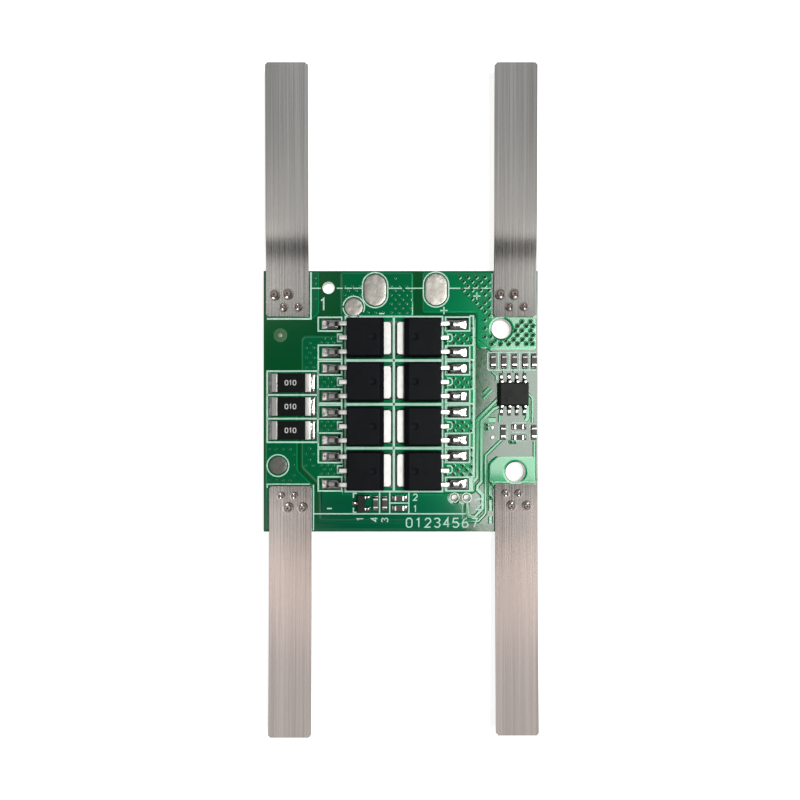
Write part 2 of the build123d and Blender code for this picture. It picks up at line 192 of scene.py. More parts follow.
def laminate_mask():
    """Green mask on the glass laminate, whose weave shows faintly; bare laminate at cut edges,
    partly paled as painted light.
    """
    shader = Shader("solder_mask_on_laminate")
    across = shader.maths("SINE", shader.mm(0) * 11.0)
    along = shader.maths("SINE", shader.mm(1) * 11.0)
    plies = shader.maths("SINE", shader.mm(2) * 31.0)
    weave = shader.between(across * along + shader.noise(0.5) * 0.8, -0.6, 1.2)
    green = shader.blend(weave, (0.0008, 0.058, 0.013), (0.0012, 0.071, 0.018))
    clouds = shader.between(shader.noise(6.0, 1.0), 0.3, 0.7)
    green = shader.blend(clouds, green, (0.0010, 0.061, 0.019))
    fibre = shader.between(plies + shader.noise(0.15) * 1.5, -0.5, 2.0)
    # The cut edges' pale colour is partly the laminate's own and partly painted light, for light
    # coming up through the holes.
    cut = shader.blend(fibre, (0.52, 0.55, 0.42), (0.76, 0.77, 0.66))
    flat = shader.between(abs(shader.upward()), 0.4, 0.6)
    return mask_surface(shader, shader.blend(flat, cut, green), 0.08, Specular_IOR_Level=0.36)


def copper_mask():
    """Green mask on copper: brighter, because the metal throws the light back through it.

    Its colour follows the height: dark where the mask pools outside a copper edge, brightest where
    it thins over the edge, and even on the flat copper. Along the front edge it is darker and
    bluer, as painted shade.
    """
    shader = Shader("solder_mask_on_copper")
    step = shader.between(shader.mm(2), BOARD_TOP, COPPER_TOP)
    green = shader.ramp(step, [
        (0.0, (0.0006, 0.045, 0.012)), (0.2, (0.0008, 0.065, 0.020)), (0.6, (0.0030, 0.185, 0.074)),
        (0.86, (0.0030, 0.170, 0.066)), (1.0, (0.0012, 0.110, 0.040)),
    ])
    tarnish = shader.between(shader.noise(2.2, 3.0), 0.3, 0.7, 0.0, 0.35)
    green = shader.blend(tarnish, green, (0.0014, 0.132, 0.050))
    # Painted shade: darker and bluer along the board's front edge, left of x = 10 to 11.
    front_shade = 0.65 * shader.left_front(10.0, 11.0, -16.5, -14.5)
    green = shader.blend(front_shade, green, (0.0008, 0.064, 0.034))
    return mask_surface(
        shader, green, 0.28, Metallic=shader.between(step, 0.3, 0.7, 0.0, 0.43),
        Specular_IOR_Level=0.0, Coat_Weight=0.67, Coat_Roughness=0.08, Coat_IOR=1.5,
    )


def tinned_land():
    """Hot-tinned copper with soft pits and grey patches, darker at the board's left front."""
    shader = Shader("tinned_land")
    grain = shader.noise(0.35, 4.0)
    patch = shader.between(shader.noise(1.1, 3.0), 0.35, 0.65)
    color = shader.blend(patch, (0.29, 0.28, 0.255), (0.39, 0.375, 0.345))
    # Darker at the board's left front, by place on the board.
    dull = 0.85 * shader.left_front(-15.0, -14.0, -9.0, -8.0)
    color = shader.blend(dull, color, (0.10, 0.11, 0.10))
    return shader.surface(color, 0.34 + 0.14 * grain, (grain, 0.016), Metallic=1.0)


def solder_metal():
    """Reflowed solder: bright, with a fine frosty grain, and painted shade that greys it where it
    runs down steeply.
    """
    shader = Shader("solder")
    grain = shader.noise(0.18, 4.0)
    frost = shader.between(shader.noise(0.8), 0.35, 0.7)
    color = shader.blend(frost, (0.42, 0.425, 0.42), (0.97, 0.97, 0.95))
    # Painted shade: faces that run down steeply get a near-black colour.
    level = shader.between(shader.upward(), 0.62, 0.95)
    color = shader.blend(level, (0.07, 0.075, 0.07), color)
    return shader.surface(color, 0.12 + 0.16 * frost * grain, (grain, 0.014), Metallic=1.0)


def plated_tin():
    """Tin on tabs, leads and end caps: bright where level, and dark on slopes and bends as painted
    shade.

    It is matt on the tabs, and duller on the leads' feet, the shunts' ends and, a little, the
    chips' ends, which flux has dulled.
    """
    shader = Shader("tin_plating")
    lines = shader.noise(0.10, 3.0, (1, 0.25, 1))
    patch = shader.between(shader.noise(0.9), 0.3, 0.7)
    bright = shader.blend(patch, (0.74, 0.745, 0.73), (0.84, 0.85, 0.83))
    bright = shader.blend(shader.attribute("dull"), bright, (0.33, 0.335, 0.325))
    # Painted shade: faces that slope away from level, at bends and rounded edges, get a near-black
    # tin colour.
    level = shader.between(shader.upward(), 0.75, 0.985)
    color = shader.blend(level, (0.055, 0.055, 0.052), bright)
    metallic = 0.9 - 0.62 * (level * shader.attribute("matt"))
    return shader.surface(color, 0.26 + 0.12 * lines, (lines, 0.006), Metallic=metallic)


def brushed_nickel():
    """Rolled and brushed nickel: lines along its length and brown heat stains at the welds."""
    shader = Shader("brushed_nickel")
    fine = shader.noise(0.09, 2.0, (1, 0.003, 0))
    broad = shader.noise(0.5, 2.0, (1, 0.006, 0))
    lines = shader.between(0.6 * fine + 0.4 * broad, 0.34, 0.66)
    metal = shader.blend(lines, (0.52, 0.50, 0.48), (0.74, 0.715, 0.69))
    cloud = shader.between(shader.noise(9.0, 2.0, (1.6, 0.5, 1)), 0.35, 0.7, 0.0, 0.3)
    metal = shader.blend(cloud, metal, (0.54, 0.54, 0.53))
    stain = shader.attribute("weld_heat") * (0.7 + 0.6 * shader.noise(0.4, 3.0))
    stain = shader.between(stain, 0.1, 1.1, 0.0, 0.8)
    color = shader.blend(stain, metal, (0.25, 0.185, 0.155))
    return shader.surface(color, 0.16 + 0.06 * lines, (fine, 0.012), Metallic=1.0)


def chip_coat():
    """Grey glass on top of a pale ceramic body, which shows at the chip's sides."""
    shader = Shader("chip_coating")
    grain = shader.noise(0.1)
    top = shader.between(shader.mm(2), 2.08, 2.12)
    glass = shader.blend(grain, (0.045, 0.045, 0.042), (0.078, 0.076, 0.070))
    color = shader.blend(top, (0.55, 0.54, 0.50), glass)
    return shader.surface(color, 0.34 + 0.2 * grain, Specular_IOR_Level=0.12)


def two_toned(name, dark, light, patch, spread, roughness, grain=None, relief=None, **others):
    """A finish of two tones, picked by a noise, with a gloss and relief that follow a finer one.

    Patch and grain are what noise() takes, spread is where the patches turn from dark to light, and
    roughness is its least value and what the grain adds. Without a grain, the patches serve as it.
    """
    shader = Shader(name)
    tone = shader.between(shader.noise(*patch), *spread)
    fine = shader.noise(*grain) if grain else tone
    least, added = roughness
    color = shader.blend(tone, dark, light)
    return shader.surface(color, least + added * fine, relief and (fine, relief), **others)


def ink(name, dark, light):
    """Printing ink, a little translucent over what it lies on, with a broken surface."""
    return two_toned(name, dark, light, (0.7,), (0.25, 0.8), (0.45, 0.25), (0.12, 3.0), 0.008)


def epoxy(name, dark, light, least, gloss):
    """Black epoxy moulding compound: a fine spark-eroded grain."""
    patch, spread, grain = (1.8,), (0.3, 0.7), (0.07,)
    roughness = least, 0.12
    return two_toned(
        name, dark, light, patch, spread, roughness, grain, 0.010, Specular_IOR_Level=gloss
    )


# Each finish is a material and its slot. The vias' dips are dark: painted shade, and mask that has
# sunk into them.
MASK_ON_LAMINATE = laminate_mask(), "solder_mask"
MASK_ON_COPPER = copper_mask(), "solder_mask"
VIA_SHADE = two_toned(
    "mask_in_vias", (0.0010, 0.014, 0.006), (0.002, 0.028, 0.011), (0.3,), (0.3, 0.7), (0.5, 0.2),
    Specular_IOR_Level=0.15,
), "solder_mask"
LAMINATE = two_toned(
    "bare_laminate", (0.016, 0.095, 0.028), (0.026, 0.120, 0.038), (0.35, 3.0), (0.3, 0.7),
    (0.45, 0.2),
), "solder_mask"
INK = ink("printing_ink", (0.34, 0.56, 0.46), (0.46, 0.67, 0.58)), "solder_mask"
DIGIT_INK = ink("shunt_ink", (0.36, 0.37, 0.36), (0.56, 0.57, 0.56)), "resistor_coating"
LAND = tinned_land(), "tinned_copper"
SOLDER = solder_metal(), "solder"
LEAD = plated_tin(), "tinned_copper"
NICKEL = brushed_nickel(), "nickel"
PLATE_NICKEL = two_toned(
    "nickel_plate", (0.50, 0.47, 0.44), (0.66, 0.63, 0.60), (0.08, 2.0, (0.03, 1, 1)), (0.0, 1.0),
    (0.3, 0.2), Metallic=1.0,
), "nickel"
MOULD = epoxy(
    "transistor_moulding", (0.0022, 0.0030, 0.0042), (0.0038, 0.0046, 0.0062), 0.45, 0.07
), "moulding_compound"
IC_MOULD = epoxy(
    "controller_moulding", (0.013, 0.015, 0.014), (0.021, 0.023, 0.022), 0.50, 0.10
), "moulding_compound"
COAT = two_toned(
    "resistor_coating", (0.002, 0.0025, 0.0025), (0.007, 0.008, 0.008), (0.25, 3.0), (0.0, 1.0),
    (0.30, 0.2), None, 0.010, Specular_IOR_Level=0.08,
), "resistor_coating"
CHIP = chip_coat(), "chip_coating"


# Shapes: each shell is an array of points and a list of arrays of faces


def grid_faces(rows, columns, wrapped=False):
    """Four-cornered faces between a grid's neighbours, closed round its rows if wrapped."""
    row = np.arange(rows - 1)[:, None] * columns
    column = np.arange(columns if wrapped else columns - 1)[None]
    following = (column + 1) % columns
    corners = row + column, row + following, row + columns + following, row + columns + column
    return np.stack(corners, -1).reshape(-1, 4)


def tube_shell(rings):
    """A closed shell through rings of points (ring, point, xyz), with a flat face at each end."""
    count, around = rings.shape[:2]
    first = np.arange(around)[::-1]
    last = np.arange(around) + (count - 1) * around
    return rings.reshape(-1, 3), [grid_faces(count, around, True), np.stack([first, last])]


def round_corners(half_x, half_y, radius, points=5):
    """Offsets round a rectangle: a quarter circle of the radius about each corner's own centre."""
    quarter = np.linspace(0, math.pi / 2, points)
    angle = (quarter + math.pi / 2 * np.arange(4)[:, None]).ravel()
    side_x = np.repeat([1, -1, -1, 1], points)
    side_y = np.repeat([1, 1, -1, -1], points)
    x = side_x * (half_x - radius) + radius * np.cos(angle)
    y = side_y * (half_y - radius) + radius * np.sin(angle)
    return x, y


def moulding(rings, base, points=5):
    """A shell through level rounded rectangles, from its underside up and then in over its top.

    Each ring is (half x, half y, corner radius, height over the base), and its centre if not 0, 0.
    """
    rings = np.array([(*ring, 0, 0)[:6] for ring in rings], float)[:, :, None]
    x, y = round_corners(rings[:, 0], rings[:, 1], rings[:, 2], points)
    z = np.broadcast_to(base + rings[:, 3], x.shape)
    return tube_shell(np.stack([rings[:, 4] + x, rings[:, 5] + y, z], -1))


def disc(radius, height, x=0, y=0):
    """A round ring of a moulding."""
    return radius, radius, radius, height, x, y


def soft_block(low, high, corner, edge, steps=4):
    """A block with rounded upright corners and a quarter-round edge at its top and underside."""
    middle, half = (low + high) / 2, (high - low) / 2
    turn = np.linspace(0, math.pi / 2, steps)
    rim = list(zip(edge * (1 - np.sin(turn)), edge * (1 - np.cos(turn))))
    rings = [(inset, low[2] + drop) for inset, drop in rim]
    rings += [(inset, high[2] - drop) for inset, drop in rim[::-1]] + [(edge + 0.02, high[2])]
    return moulding([
        (half[0] - inset, half[1] - inset, max(corner - inset, 0.01), z, middle[0], middle[1])
        for inset, z in rings
    ], 0)


def unit(vectors):
    return vectors / np.linalg.norm(vectors, axis=1, keepdims=True)


def swept_bar(path, width, thickness, corner, y=0.0):
    """A bar along a path of (x, z) points: a rounded rectangle that stays square to the path."""
    path = np.array(path, float)
    ahead = unit(np.gradient(path, axis=0))
    across, up = round_corners(width / 2, thickness / 2, corner, 3)
    x = path[:, :1] - ahead[:, 1:] * up
    z = path[:, 1:] + ahead[:, :1] * up
    return tube_shell(np.stack([x, np.broadcast_to(across + y, x.shape), z], -1))


def gull_path(start, end, middle, steepness, rise, rest):
    """Path of a gull-wing lead: its height falls from rise to rest along a logistic curve."""
    bend = 2.2 / steepness
    x = np.concatenate([
        np.linspace(start, middle - bend, 4, endpoint=False),
        np.linspace(middle - bend, middle + bend, 18, endpoint=False),
        np.linspace(middle + bend, end, 4),
    ])
    z = rest + (rise - rest) / (1 + np.exp(2 * steepness * (x - middle)))
    return np.stack([x, z], -1)


def pillow(low, high, height, columns=16, rows=12):
    """A closed drop on the board over a rectangle: height(x, y), falling to the board at the rim.

    Grid lines crowd towards the rim as a cosine does, so that the rim is round.
    """
    u = -np.cos(np.linspace(0, math.pi, columns))[None]
    v = -np.cos(np.linspace(0, math.pi, rows))[:, None]
    x = (low[0] + high[0]) / 2 + (high[0] - low[0]) / 2 * u
    y = (low[1] + high[1]) / 2 + (high[1] - low[1]) / 2 * v
    x, y = np.broadcast_arrays(x, y)
    rim = np.sqrt(np.clip(1 - u**8, 0, 1) * np.clip(1 - v**8, 0, 1))
    points = np.stack([x, y, BOARD_TOP + rim * height(x, y)], -1).reshape(-1, 3)
    number = np.arange(rows * columns).reshape(rows, columns)
    border = np.concatenate([number[0], number[1:, -1], number[-1, -2::-1], number[-2:0:-1, 0]])
    return points, [grid_faces(rows, columns), border[None, ::-1]]


def copies(shell, places):
    """The shell at each place (x, y, turn): turned about Z by so many degrees, and moved."""
    points, faces = shell
    x, y, turn = np.array([(*place, 0)[:3] for place in places], float).T[:, :, None]
    cosine, sine = np.cos(np.radians(turn)), np.sin(np.radians(turn))
    moved = np.stack([
        x + cosine * points[:, 0] - sine * points[:, 1],
        y + sine * points[:, 0] + cosine * points[:, 1],
        np.broadcast_to(points[:, 2], (len(places), len(points))),
    ], -1)
    steps = np.arange(len(places))[:, None, None] * len(points)
    return moved.reshape(-1, 3), [(rows + steps).reshape(-1, rows.shape[1]) for rows in faces]


def apart(line, closed=True):
    """The line without points that repeat the one before."""
    keep = np.hypot(*(line - np.roll(line, 1, 0)).T) > 1e-4
    keep[0] = keep[0] or not closed
    return line[keep]


def mitres(line, closed):
    """For each point of a line, the step to its left that keeps a parallel line one unit away."""
    ahead = np.roll(line, -1, 0) - line
    if not closed:
        ahead[-1] = ahead[-2]
    ahead = unit(ahead)
    behind = np.roll(ahead, 1, 0)
    if not closed:
        behind[0] = ahead[0]
    left = np.stack([-ahead[:, 1] - behind[:, 1], ahead[:, 0] + behind[:, 0]], -1)
    return 2 * left / np.sum(left * left, 1, keepdims=True)


def raised(line, height):
    """The (x, y) points of a line at a height."""
    return np.insert(line, 2, height, axis=1)


def sweep(line, rails):
    """A bar along (x, y) points with mitred corners, closed where the line ends at its start.

    Each rail is (offset to the left, height).
    """
    line = np.array(line, float)
    closed = np.allclose(line[0], line[-1])
    line = apart(line[:-1] if closed else line, closed)
    side = mitres(line, closed)
    rings = np.stack([raised(line + side * offset, z) for offset, z in rails], 1)
    if not closed:
        return tube_shell(rings)
    faces = grid_faces(len(line) + 1, len(rails), True) % (len(line) * len(rails))
    return rings.reshape(-1, 3), [faces]


def ribbon(line, width, low, high):
    """A thin bar of one width along a line, with bevels along its top."""
    half = width / 2
    flat, shoulder = half * 0.85, high - 0.01
    return sweep(line, [
        (-half, low), (half, low), (half, shoulder), (flat, high), (-flat, high), (-half, shoulder),
    ])


def soften(outline, steps=5):
    """An outline with rounded corners from (x, y, radius) rows: a bent curve across each corner.

    A row without a radius has one of 0.3.
    """
    outline = np.array([(*row, 0.3)[:3] for row in outline], float)
    corner, radius = outline[:, :2], np.maximum(outline[:, 2:], 0.02)
    start = corner + unit(np.roll(corner, 1, 0) - corner) * radius
    end = corner + unit(np.roll(corner, -1, 0) - corner) * radius
    t = np.linspace(0, 1, steps)[None, :, None]
    curve = (1 - t) ** 2 * start[:, None] + 2 * t * (1 - t) * corner[:, None] + t**2 * end[:, None]
    return apart(curve.reshape(-1, 2))


def circle(x, y, radius, count=32, start=0.0, end=360.0):
    """Points round a circle, or an arc of it, anticlockwise."""
    angle = np.radians(np.linspace(start, end, count, endpoint=end - start < 360))
    return np.stack([x + radius * np.cos(angle), y + radius * np.sin(angle)], -1)


def stadium(x, y, half_x, half_y, points):
    """Points round a round-ended land, anticlockwise: its corner radius is half its width."""
    across, along = round_corners(half_x, half_y, half_x, points)
    return np.stack([x + across, y + along], -1)


def closed_line(points):
    return np.concatenate([points, points[:1]])


# The mask over a copper edge: each pair is (how far inside the edge, rise over the laminate)
POUR_EDGE = (-0.2, 0.0005), (-0.1, 0.004), (0.0, 0.018), (0.08, 0.030), (0.2, 0.035), (0.24, 0.035)
TRACK_EDGE = (
    (-0.15, 0.0005), (-0.08, 0.004), (-0.02, 0.018), (0.01, 0.031), (0.03, 0.035), (0.05, 0.035),
)


def plate(outlines):
    """Copper under the mask: an anticlockwise outline, then clockwise holes.

    The mask climbs each edge along POUR_EDGE and is flat inside.
    """
    layers = (POUR_EDGE[0][0], -0.01), *POUR_EDGE
    points, faces, feet, tops, inner, first = [], [], [], [], [], 0
    for line in outlines:
        step = mitres(line, True)
        rings = [raised(line + step * inset, BOARD_TOP + rise) for inset, rise in layers]
        points += rings
        faces.append(grid_faces(len(layers), len(line), True) + first)
        feet.append(np.arange(len(line)) + first)
        tops.append(feet[-1] + len(line) * (len(layers) - 1))
        inner.append(rings[-1][:, :2])
        first += len(line) * len(layers)
    flat = [[Vector((*point, 0)) for point in line] for line in inner]
    filled = np.array(tessellate_polygon(flat))
    corners = np.concatenate(inner)[filled]
    one, other = corners[:, 1] - corners[:, 0], corners[:, 2] - corners[:, 0]
    clockwise = one[:, 0] * other[:, 1] < one[:, 1] * other[:, 0]
    filled[clockwise] = filled[clockwise][:, ::-1]
    top, underside = np.concatenate(tops)[filled], np.concatenate(feet)[filled][:, ::-1]
    return np.concatenate(points), [np.concatenate(faces), top, underside]


def track(line, width):
    """A narrow copper line under the mask, with mitred corners and soft edges along TRACK_EDGE."""
    slope = [(width / 2 - inset, BOARD_TOP + rise) for inset, rise in TRACK_EDGE]
    foot, underside = slope[0][0], BOARD_TOP - 0.01
    back = [(-offset, z) for offset, z in slope[::-1]]
    return sweep(line, [(-foot, underside), (foot, underside), *slope, *back])


def dome(x, y, half_x, half_y, rings, points):
    """A closed domed land: nested outlines, each (inset, rise) from the rim in to the middle."""
    return tube_shell(np.stack([
        raised(stadium(x, y, half_x - inset, half_y - inset, points), BOARD_TOP + rise)
        for inset, rise in rings
    ]))


# Pieces


def add_object(name, data):
    """A new object in the scene."""
    made = bpy.data.objects.new(name, data)
    bpy.context.scene.collection.objects.link(made)
    return made


def make_piece(name, shells, finish, stands_for=(), sharp=35.0):
    """Joins closed shells into one finished piece that rides on the board."""
    material, slot = finish
    faces, sizes, first = [], [], 0
    for points, groups in shells:
        for group in groups:
            faces.append((group + first).ravel())
            sizes.append(np.full(len(group), group.shape[1]))
        first += len(points)
    faces, sizes = np.concatenate(faces), np.concatenate(sizes)
    mesh = bpy.data.meshes.new(name)
    mesh.vertices.add(first)
    mesh.vertices.foreach_set("co", np.concatenate([points for points, _ in shells]).ravel() * MM)
    mesh.loops.add(len(faces))
    mesh.loops.foreach_set("vertex_index", faces)
    mesh.polygons.add(len(sizes))
    mesh.polygons.foreach_set("loop_start", np.cumsum(sizes) - sizes)
    mesh.update(calc_edges=True)
    mesh.validate()
    mesh.shade_smooth()
    mesh.set_sharp_from_angle(angle=math.radians(sharp))
    mesh.materials.append(material)
    piece = add_object(name, mesh)
    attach(piece, "root")
    if stands_for:
        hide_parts(*stands_for)
    return piece


def box_mm(node):
    """Lowest and highest corner of a CAD node."""
    low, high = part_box(node)
    return np.array(low) / MM, np.array(high) / MM


def centre_mm(node):
    low, high = box_mm(node)
    return (low + high) / 2


def lies_along_y(low, high):
    """Whether a box is longer along Y than along X."""
    return high[1] - low[1] > high[0] - low[0]


def mark(piece, name, values):
    """A number for each point of a piece, which its material reads."""
    attribute = piece.data.attributes.new(name, "FLOAT", "POINT")
    attribute.data.foreach_set("value", values.ravel().astype(np.float32))


def dress(nodes, finish):
    """Gives CAD nodes that stay visible their material."""
    for node in nodes:
        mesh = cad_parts[node].data
        mesh.materials.clear()
        mesh.materials.append(finish[0])


# Places on the board, as x, y; boxes and spans are x0, x1, y0, y1 or x0, x1

UPPER_HOLE = 16.55, 11.9
LOWER_HOLE = 18.85, -11.6
WIRE_LANDS = (-4.2, 18.25), (5.8, 18.35)
ROUND_LANDS = (-7.7, 15.47), (-20.15, -10.55)
FIDUCIAL = -19.75, 10.85
SPARE_LANDS = (15.05, -4.3), (15.05, -5.95)
PLUS_SIGNS = (7.1, 14.9), (12.5, 17.27)
# The rows of transistors, as steps in y from the first one, whose leads' lands the boxes frame
ROWS = [-7.2 * row for row in range(4)]
LEFT_BOXES = (-13.53, -9.68, 11.53, 13.78), (-13.53, -9.68, 6.88, 9.2)
RIGHT_BOXES = (7.36, 11.33, 11.56, 13.81), (7.36, 11.33, 6.91, 9.13)
SHUNT_SPAN = -21.91, -13.59


# Board art: copper, vias and print


def gap(x0, x1, y0, y1):
    """A clockwise hole in a pour."""
    return soften([(x0, y0), (x1, y0), (x1, y1), (x0, y1)], 3)[::-1]


def wire_holes():
    """Centres of the two wire holes, from the box round their barrels."""
    low, high = box_mm("plated_holes")
    half = (high[1] - low[1]) / 2
    return [(low[0] + half, low[1] + half), (high[0] - half, low[1] + half)]


def copper_pours():
    """The large copper areas under the mask, with gaps round holes and the transistors' lands."""
    left_gaps = [
        gap(x0 + 0.1, x1, y0 + dy + 0.1, y1 + dy - 0.1)
        for dy in ROWS for x0, x1, y0, y1 in LEFT_BOXES if dy or y1 < 10
    ]
    right_gaps = [
        gap(x0 + 0.1, x1 - 0.1, y0 + dy + 0.12, y1 + dy - 0.12)
        for dy in ROWS for x0, x1, y0, y1 in RIGHT_BOXES
    ]
    minus_land = [(-9.75, 14.05), (1.95, 14.05), (1.95, 21.1), (-9.75, 21.1)]
    plus_land = [
        (3.7, 14.6), (12.5, 14.6, 0.6), (12.5, 8.75, 0.9), (14.3, 8.75), (14.6, 8.5), (22.1, 8.5),
        (22.1, 21.1), (3.7, 21.1),
    ]
    drains = [(-9.3, -15.0), (12.1, -15.0), (12.1, 13.95, 0.6), (-9.3, 13.95)]
    round_hole = [(x, y, 0.1) for x, y in circle(*wire_holes()[0], 0.95, 6, -40, -215)]
    sources = [
        (-13.24, -19.55, 0.7), (10.35, -19.55), (10.35, -16.8, 0.2), *round_hole, (-9.55, -15.25),
        (-9.55, 10.6), (-16.17, 10.6, 0.9), (-16.17, -10.84, 0.5), (-13.24, -13.77, 0.5),
    ]
    cell_minus = [
        (-22.1, -21.1), (10.35, -21.1), (10.35, -19.9), (-14.11, -19.9, 0.6), (-14.11, -14.15, 0.4),
        (-16.97, -11.3, 0.4), (-16.97, 4.85), (-22.1, 4.85),
    ]
    upper_left_land = [
        (-22.1, 13.65), (-14.3, 13.65), (-13.45, 14.5), (-13.45, 21.1), (-22.1, 21.1),
    ]
    lower_right_land = [
        (14.5, -13.35, 0.4), (15.8, -14.6, 0.4), (15.8, -21.1), (22.1, -21.1), (22.1, -9.15),
        (15.65, -9.15, 0.4), (14.5, -10.3, 0.4),
    ]
    fields = [
        (minus_land, []), (drains, right_gaps), (cell_minus, []), (sources, left_gaps),
        (plus_land, [circle(*UPPER_HOLE, 1.85)[::-1]]),
        (lower_right_land, [circle(*LOWER_HOLE, 1.85)[::-1]]), (upper_left_land, []),
    ]
    shells = [plate([soften(outline)] + gaps) for outline, gaps in fields]
    make_piece("copper_pours", shells, MASK_ON_COPPER, sharp=40)


def copper_traces():
    """The narrow copper lines under the mask on the right of the board."""
    shells = [track(line, width) for width, *line in (
        (0.28, (20.95, 1.25), (21.62, 0.55), (21.62, -3.5)),
        (0.44, (16.0, 0.4), (14.6, -1.0), (12.56, -3.0), (12.56, -12.6), (11.9, -13.3)),
        (0.46, (16.1, -0.9), (15.3, -1.3), (13.25, -3.3), (13.25, -13.2), (12.6, -13.9),
         (12.6, -14.6), (13.45, -15.4), (13.45, -17.6), (12.2, -18.95), (10.95, -18.95),
         (10.95, -16.7)),
        (0.34, (16.6, -6.3), (13.94, -8.9), (13.94, -18.4), (12.7, -19.72), (-13.4, -19.72)),
        (0.50, (14.74, -18.85), (14.74, -20.1)), (0.50, (14.74, -13.4), (14.74, -18.0)),
        (0.55, (20.85, 0.2), (20.85, -2.8), (20.5, -3.2)), (0.80, (14.4, -3.1), (15.6, -3.1)),
        (0.30, (21.95, -6.5), (21.95, -9.3)), (0.30, (16.25, -2.0), (16.25, -3.4)),
        (0.25, (14.9, 5.0), (15.7, 4.2), (15.7, 3.4)), (0.35, (13.6, 1.3), (14.5, 2.2)),
        (0.35, (13.5, 0.3), (15.0, 1.8)), (0.25, (16.92, 5.5), (16.92, 4.7)),
        (0.25, (18.64, 5.5), (18.64, 4.7)), (0.25, (20.4, 5.5), (20.4, 4.6)),
    )]
    make_piece("copper_traces", shells, MASK_ON_COPPER, sharp=40)


def staggered(x0, x1, y0, y1, pitch, row):
    """Points of a staggered grid in a rectangle: every other row is half a pitch along."""
    return [
        (x, y) for number, y in enumerate(np.arange(y0, y1 + 1e-6, row))
        for x in np.arange(x0 + pitch / 2 * (number % 2), x1 + 1e-6, pitch)
    ]


def clear_of(places, keepouts):
    """Places that lie outside every keep-out, each (x, y, half x, half y)."""
    return [
        (x, y) for x, y in places
        if not any(abs(x - kx) < hx and abs(y - ky) < hy for kx, ky, hx, hy in keepouts)
    ]


def via_places():
    """Small vias in the wide pours, middling ones on the right, large ones by the upper hole."""
    small = []
    for span in (
        (-9.2, 1.6, 14.6, 19.0, 1.27, 0.72), (-15.5, -14.2, 5.6, 10.2, 1.2, 0.8),
        (-21.6, -17.4, -13.0, -7.4, 1.15, 0.85), (-15.6, -14.0, -10.6, 4.2, 1.2, 0.95),
        *[(-13.1, -11.0, 9.7 + dy, (11.1 if dy else 10.4) + dy, 1.05, 0.68) for dy in ROWS],
    ):
        small += staggered(*span)
    small = clear_of(small, [
        (*WIRE_LANDS[0], 2.3, 3.1), (*ROUND_LANDS[0], 1.95, 1.95), (*ROUND_LANDS[1], 2.0, 2.0),
    ])
    small += [(-0.9, 20.2), (-14.05, 20.3), (-14.05, 19.4), (-14.05, 16.9)]
    drain = [
        (8.7, 10.95), (10.15, 10.95), (9.4, 10.3), (10.8, 10.3), (8.7, 9.55), (10.1, 9.55),
        (11.5, 9.55), (11.6, 10.9), (11.6, 12.35), (11.6, 13.6), (7.4, 9.5), (7.4, 11.6),
    ]
    middle = [(x, y + dy) for dy in ROWS for x, y in drain if y + dy < 13.5]
    slanted = [
        (8.9 + 0.7 * i, 9.9 + 0.7 * j) for i in range(9) for j in range(16) if (i + j) % 2 == 0
    ]
    edge = [9.5, 14.5, 16.0, 18.0, 21.0], [13.3, 13.3, 12.2, 10.2, 8.9]
    middle += [(x, y) for x, y in slanted if x > np.interp(y, *edge)]
    middle = clear_of(middle, [(*UPPER_HOLE, 2.1, 2.05), (*PLUS_SIGNS[1], 0.75, 0.75)])
    middle += [
        (14.1, -3.9), (14.1, -4.5), (18.07, -6.67), (18.71, -6.67), (14.74, -13.45), (14.74, -15.8),
        (15.55, 9.95), (17.3, 9.95), (14.8, 10.65),
    ]
    large = [(x, y) for y, *row in (
        (13.05, 19.9, 21.3), (12.35, 19.2, 20.62, 21.7), (11.6, 18.75, 19.9, 21.35),
        (10.85, 19.2, 20.65, 21.7), (10.1, 18.55, 20.0, 21.4),
        (9.42, 14.95, 16.4, 17.75, 19.2, 20.65, 21.65),
    ) for x in row]
    return small, middle, large


VIA_SIZES = (0.26, 0.09, 0.030), (0.42, 0.19, 0.034), (0.50, 0.28, 0.030)


def vias():
    """Each via is a low ring of copper under the mask, round as a dome, with a dark disc in its dip
    as painted shade.

    VIA_SIZES gives the ring's outer radius, its bore and its rise.
    """
    rims, pits = [], []
    for places, (outer, bore, rise) in zip(via_places(), VIA_SIZES):
        crest = bore + 0.06
        ring = [(outer, -0.02), (outer, 0.0)]
        for t in (0.25, 0.5, 0.75, 1.0):
            ring.append((outer + (crest - outer) * t, rise * math.sin(math.pi / 2 * t) ** 2))
        ring += [(bore + 0.02, rise * 0.6), (bore, 0.003)]
        for shells, rows in ((rims, ring), (pits, [(bore, -0.01), (bore, 0.008)])):
            shells.append(copies(moulding([disc(*row) for row in rows], COPPER_TOP, 4), places))
    make_piece("via_rims", rims, MASK_ON_COPPER, sharp=60)
    make_piece("via_pits", pits, VIA_SHADE)


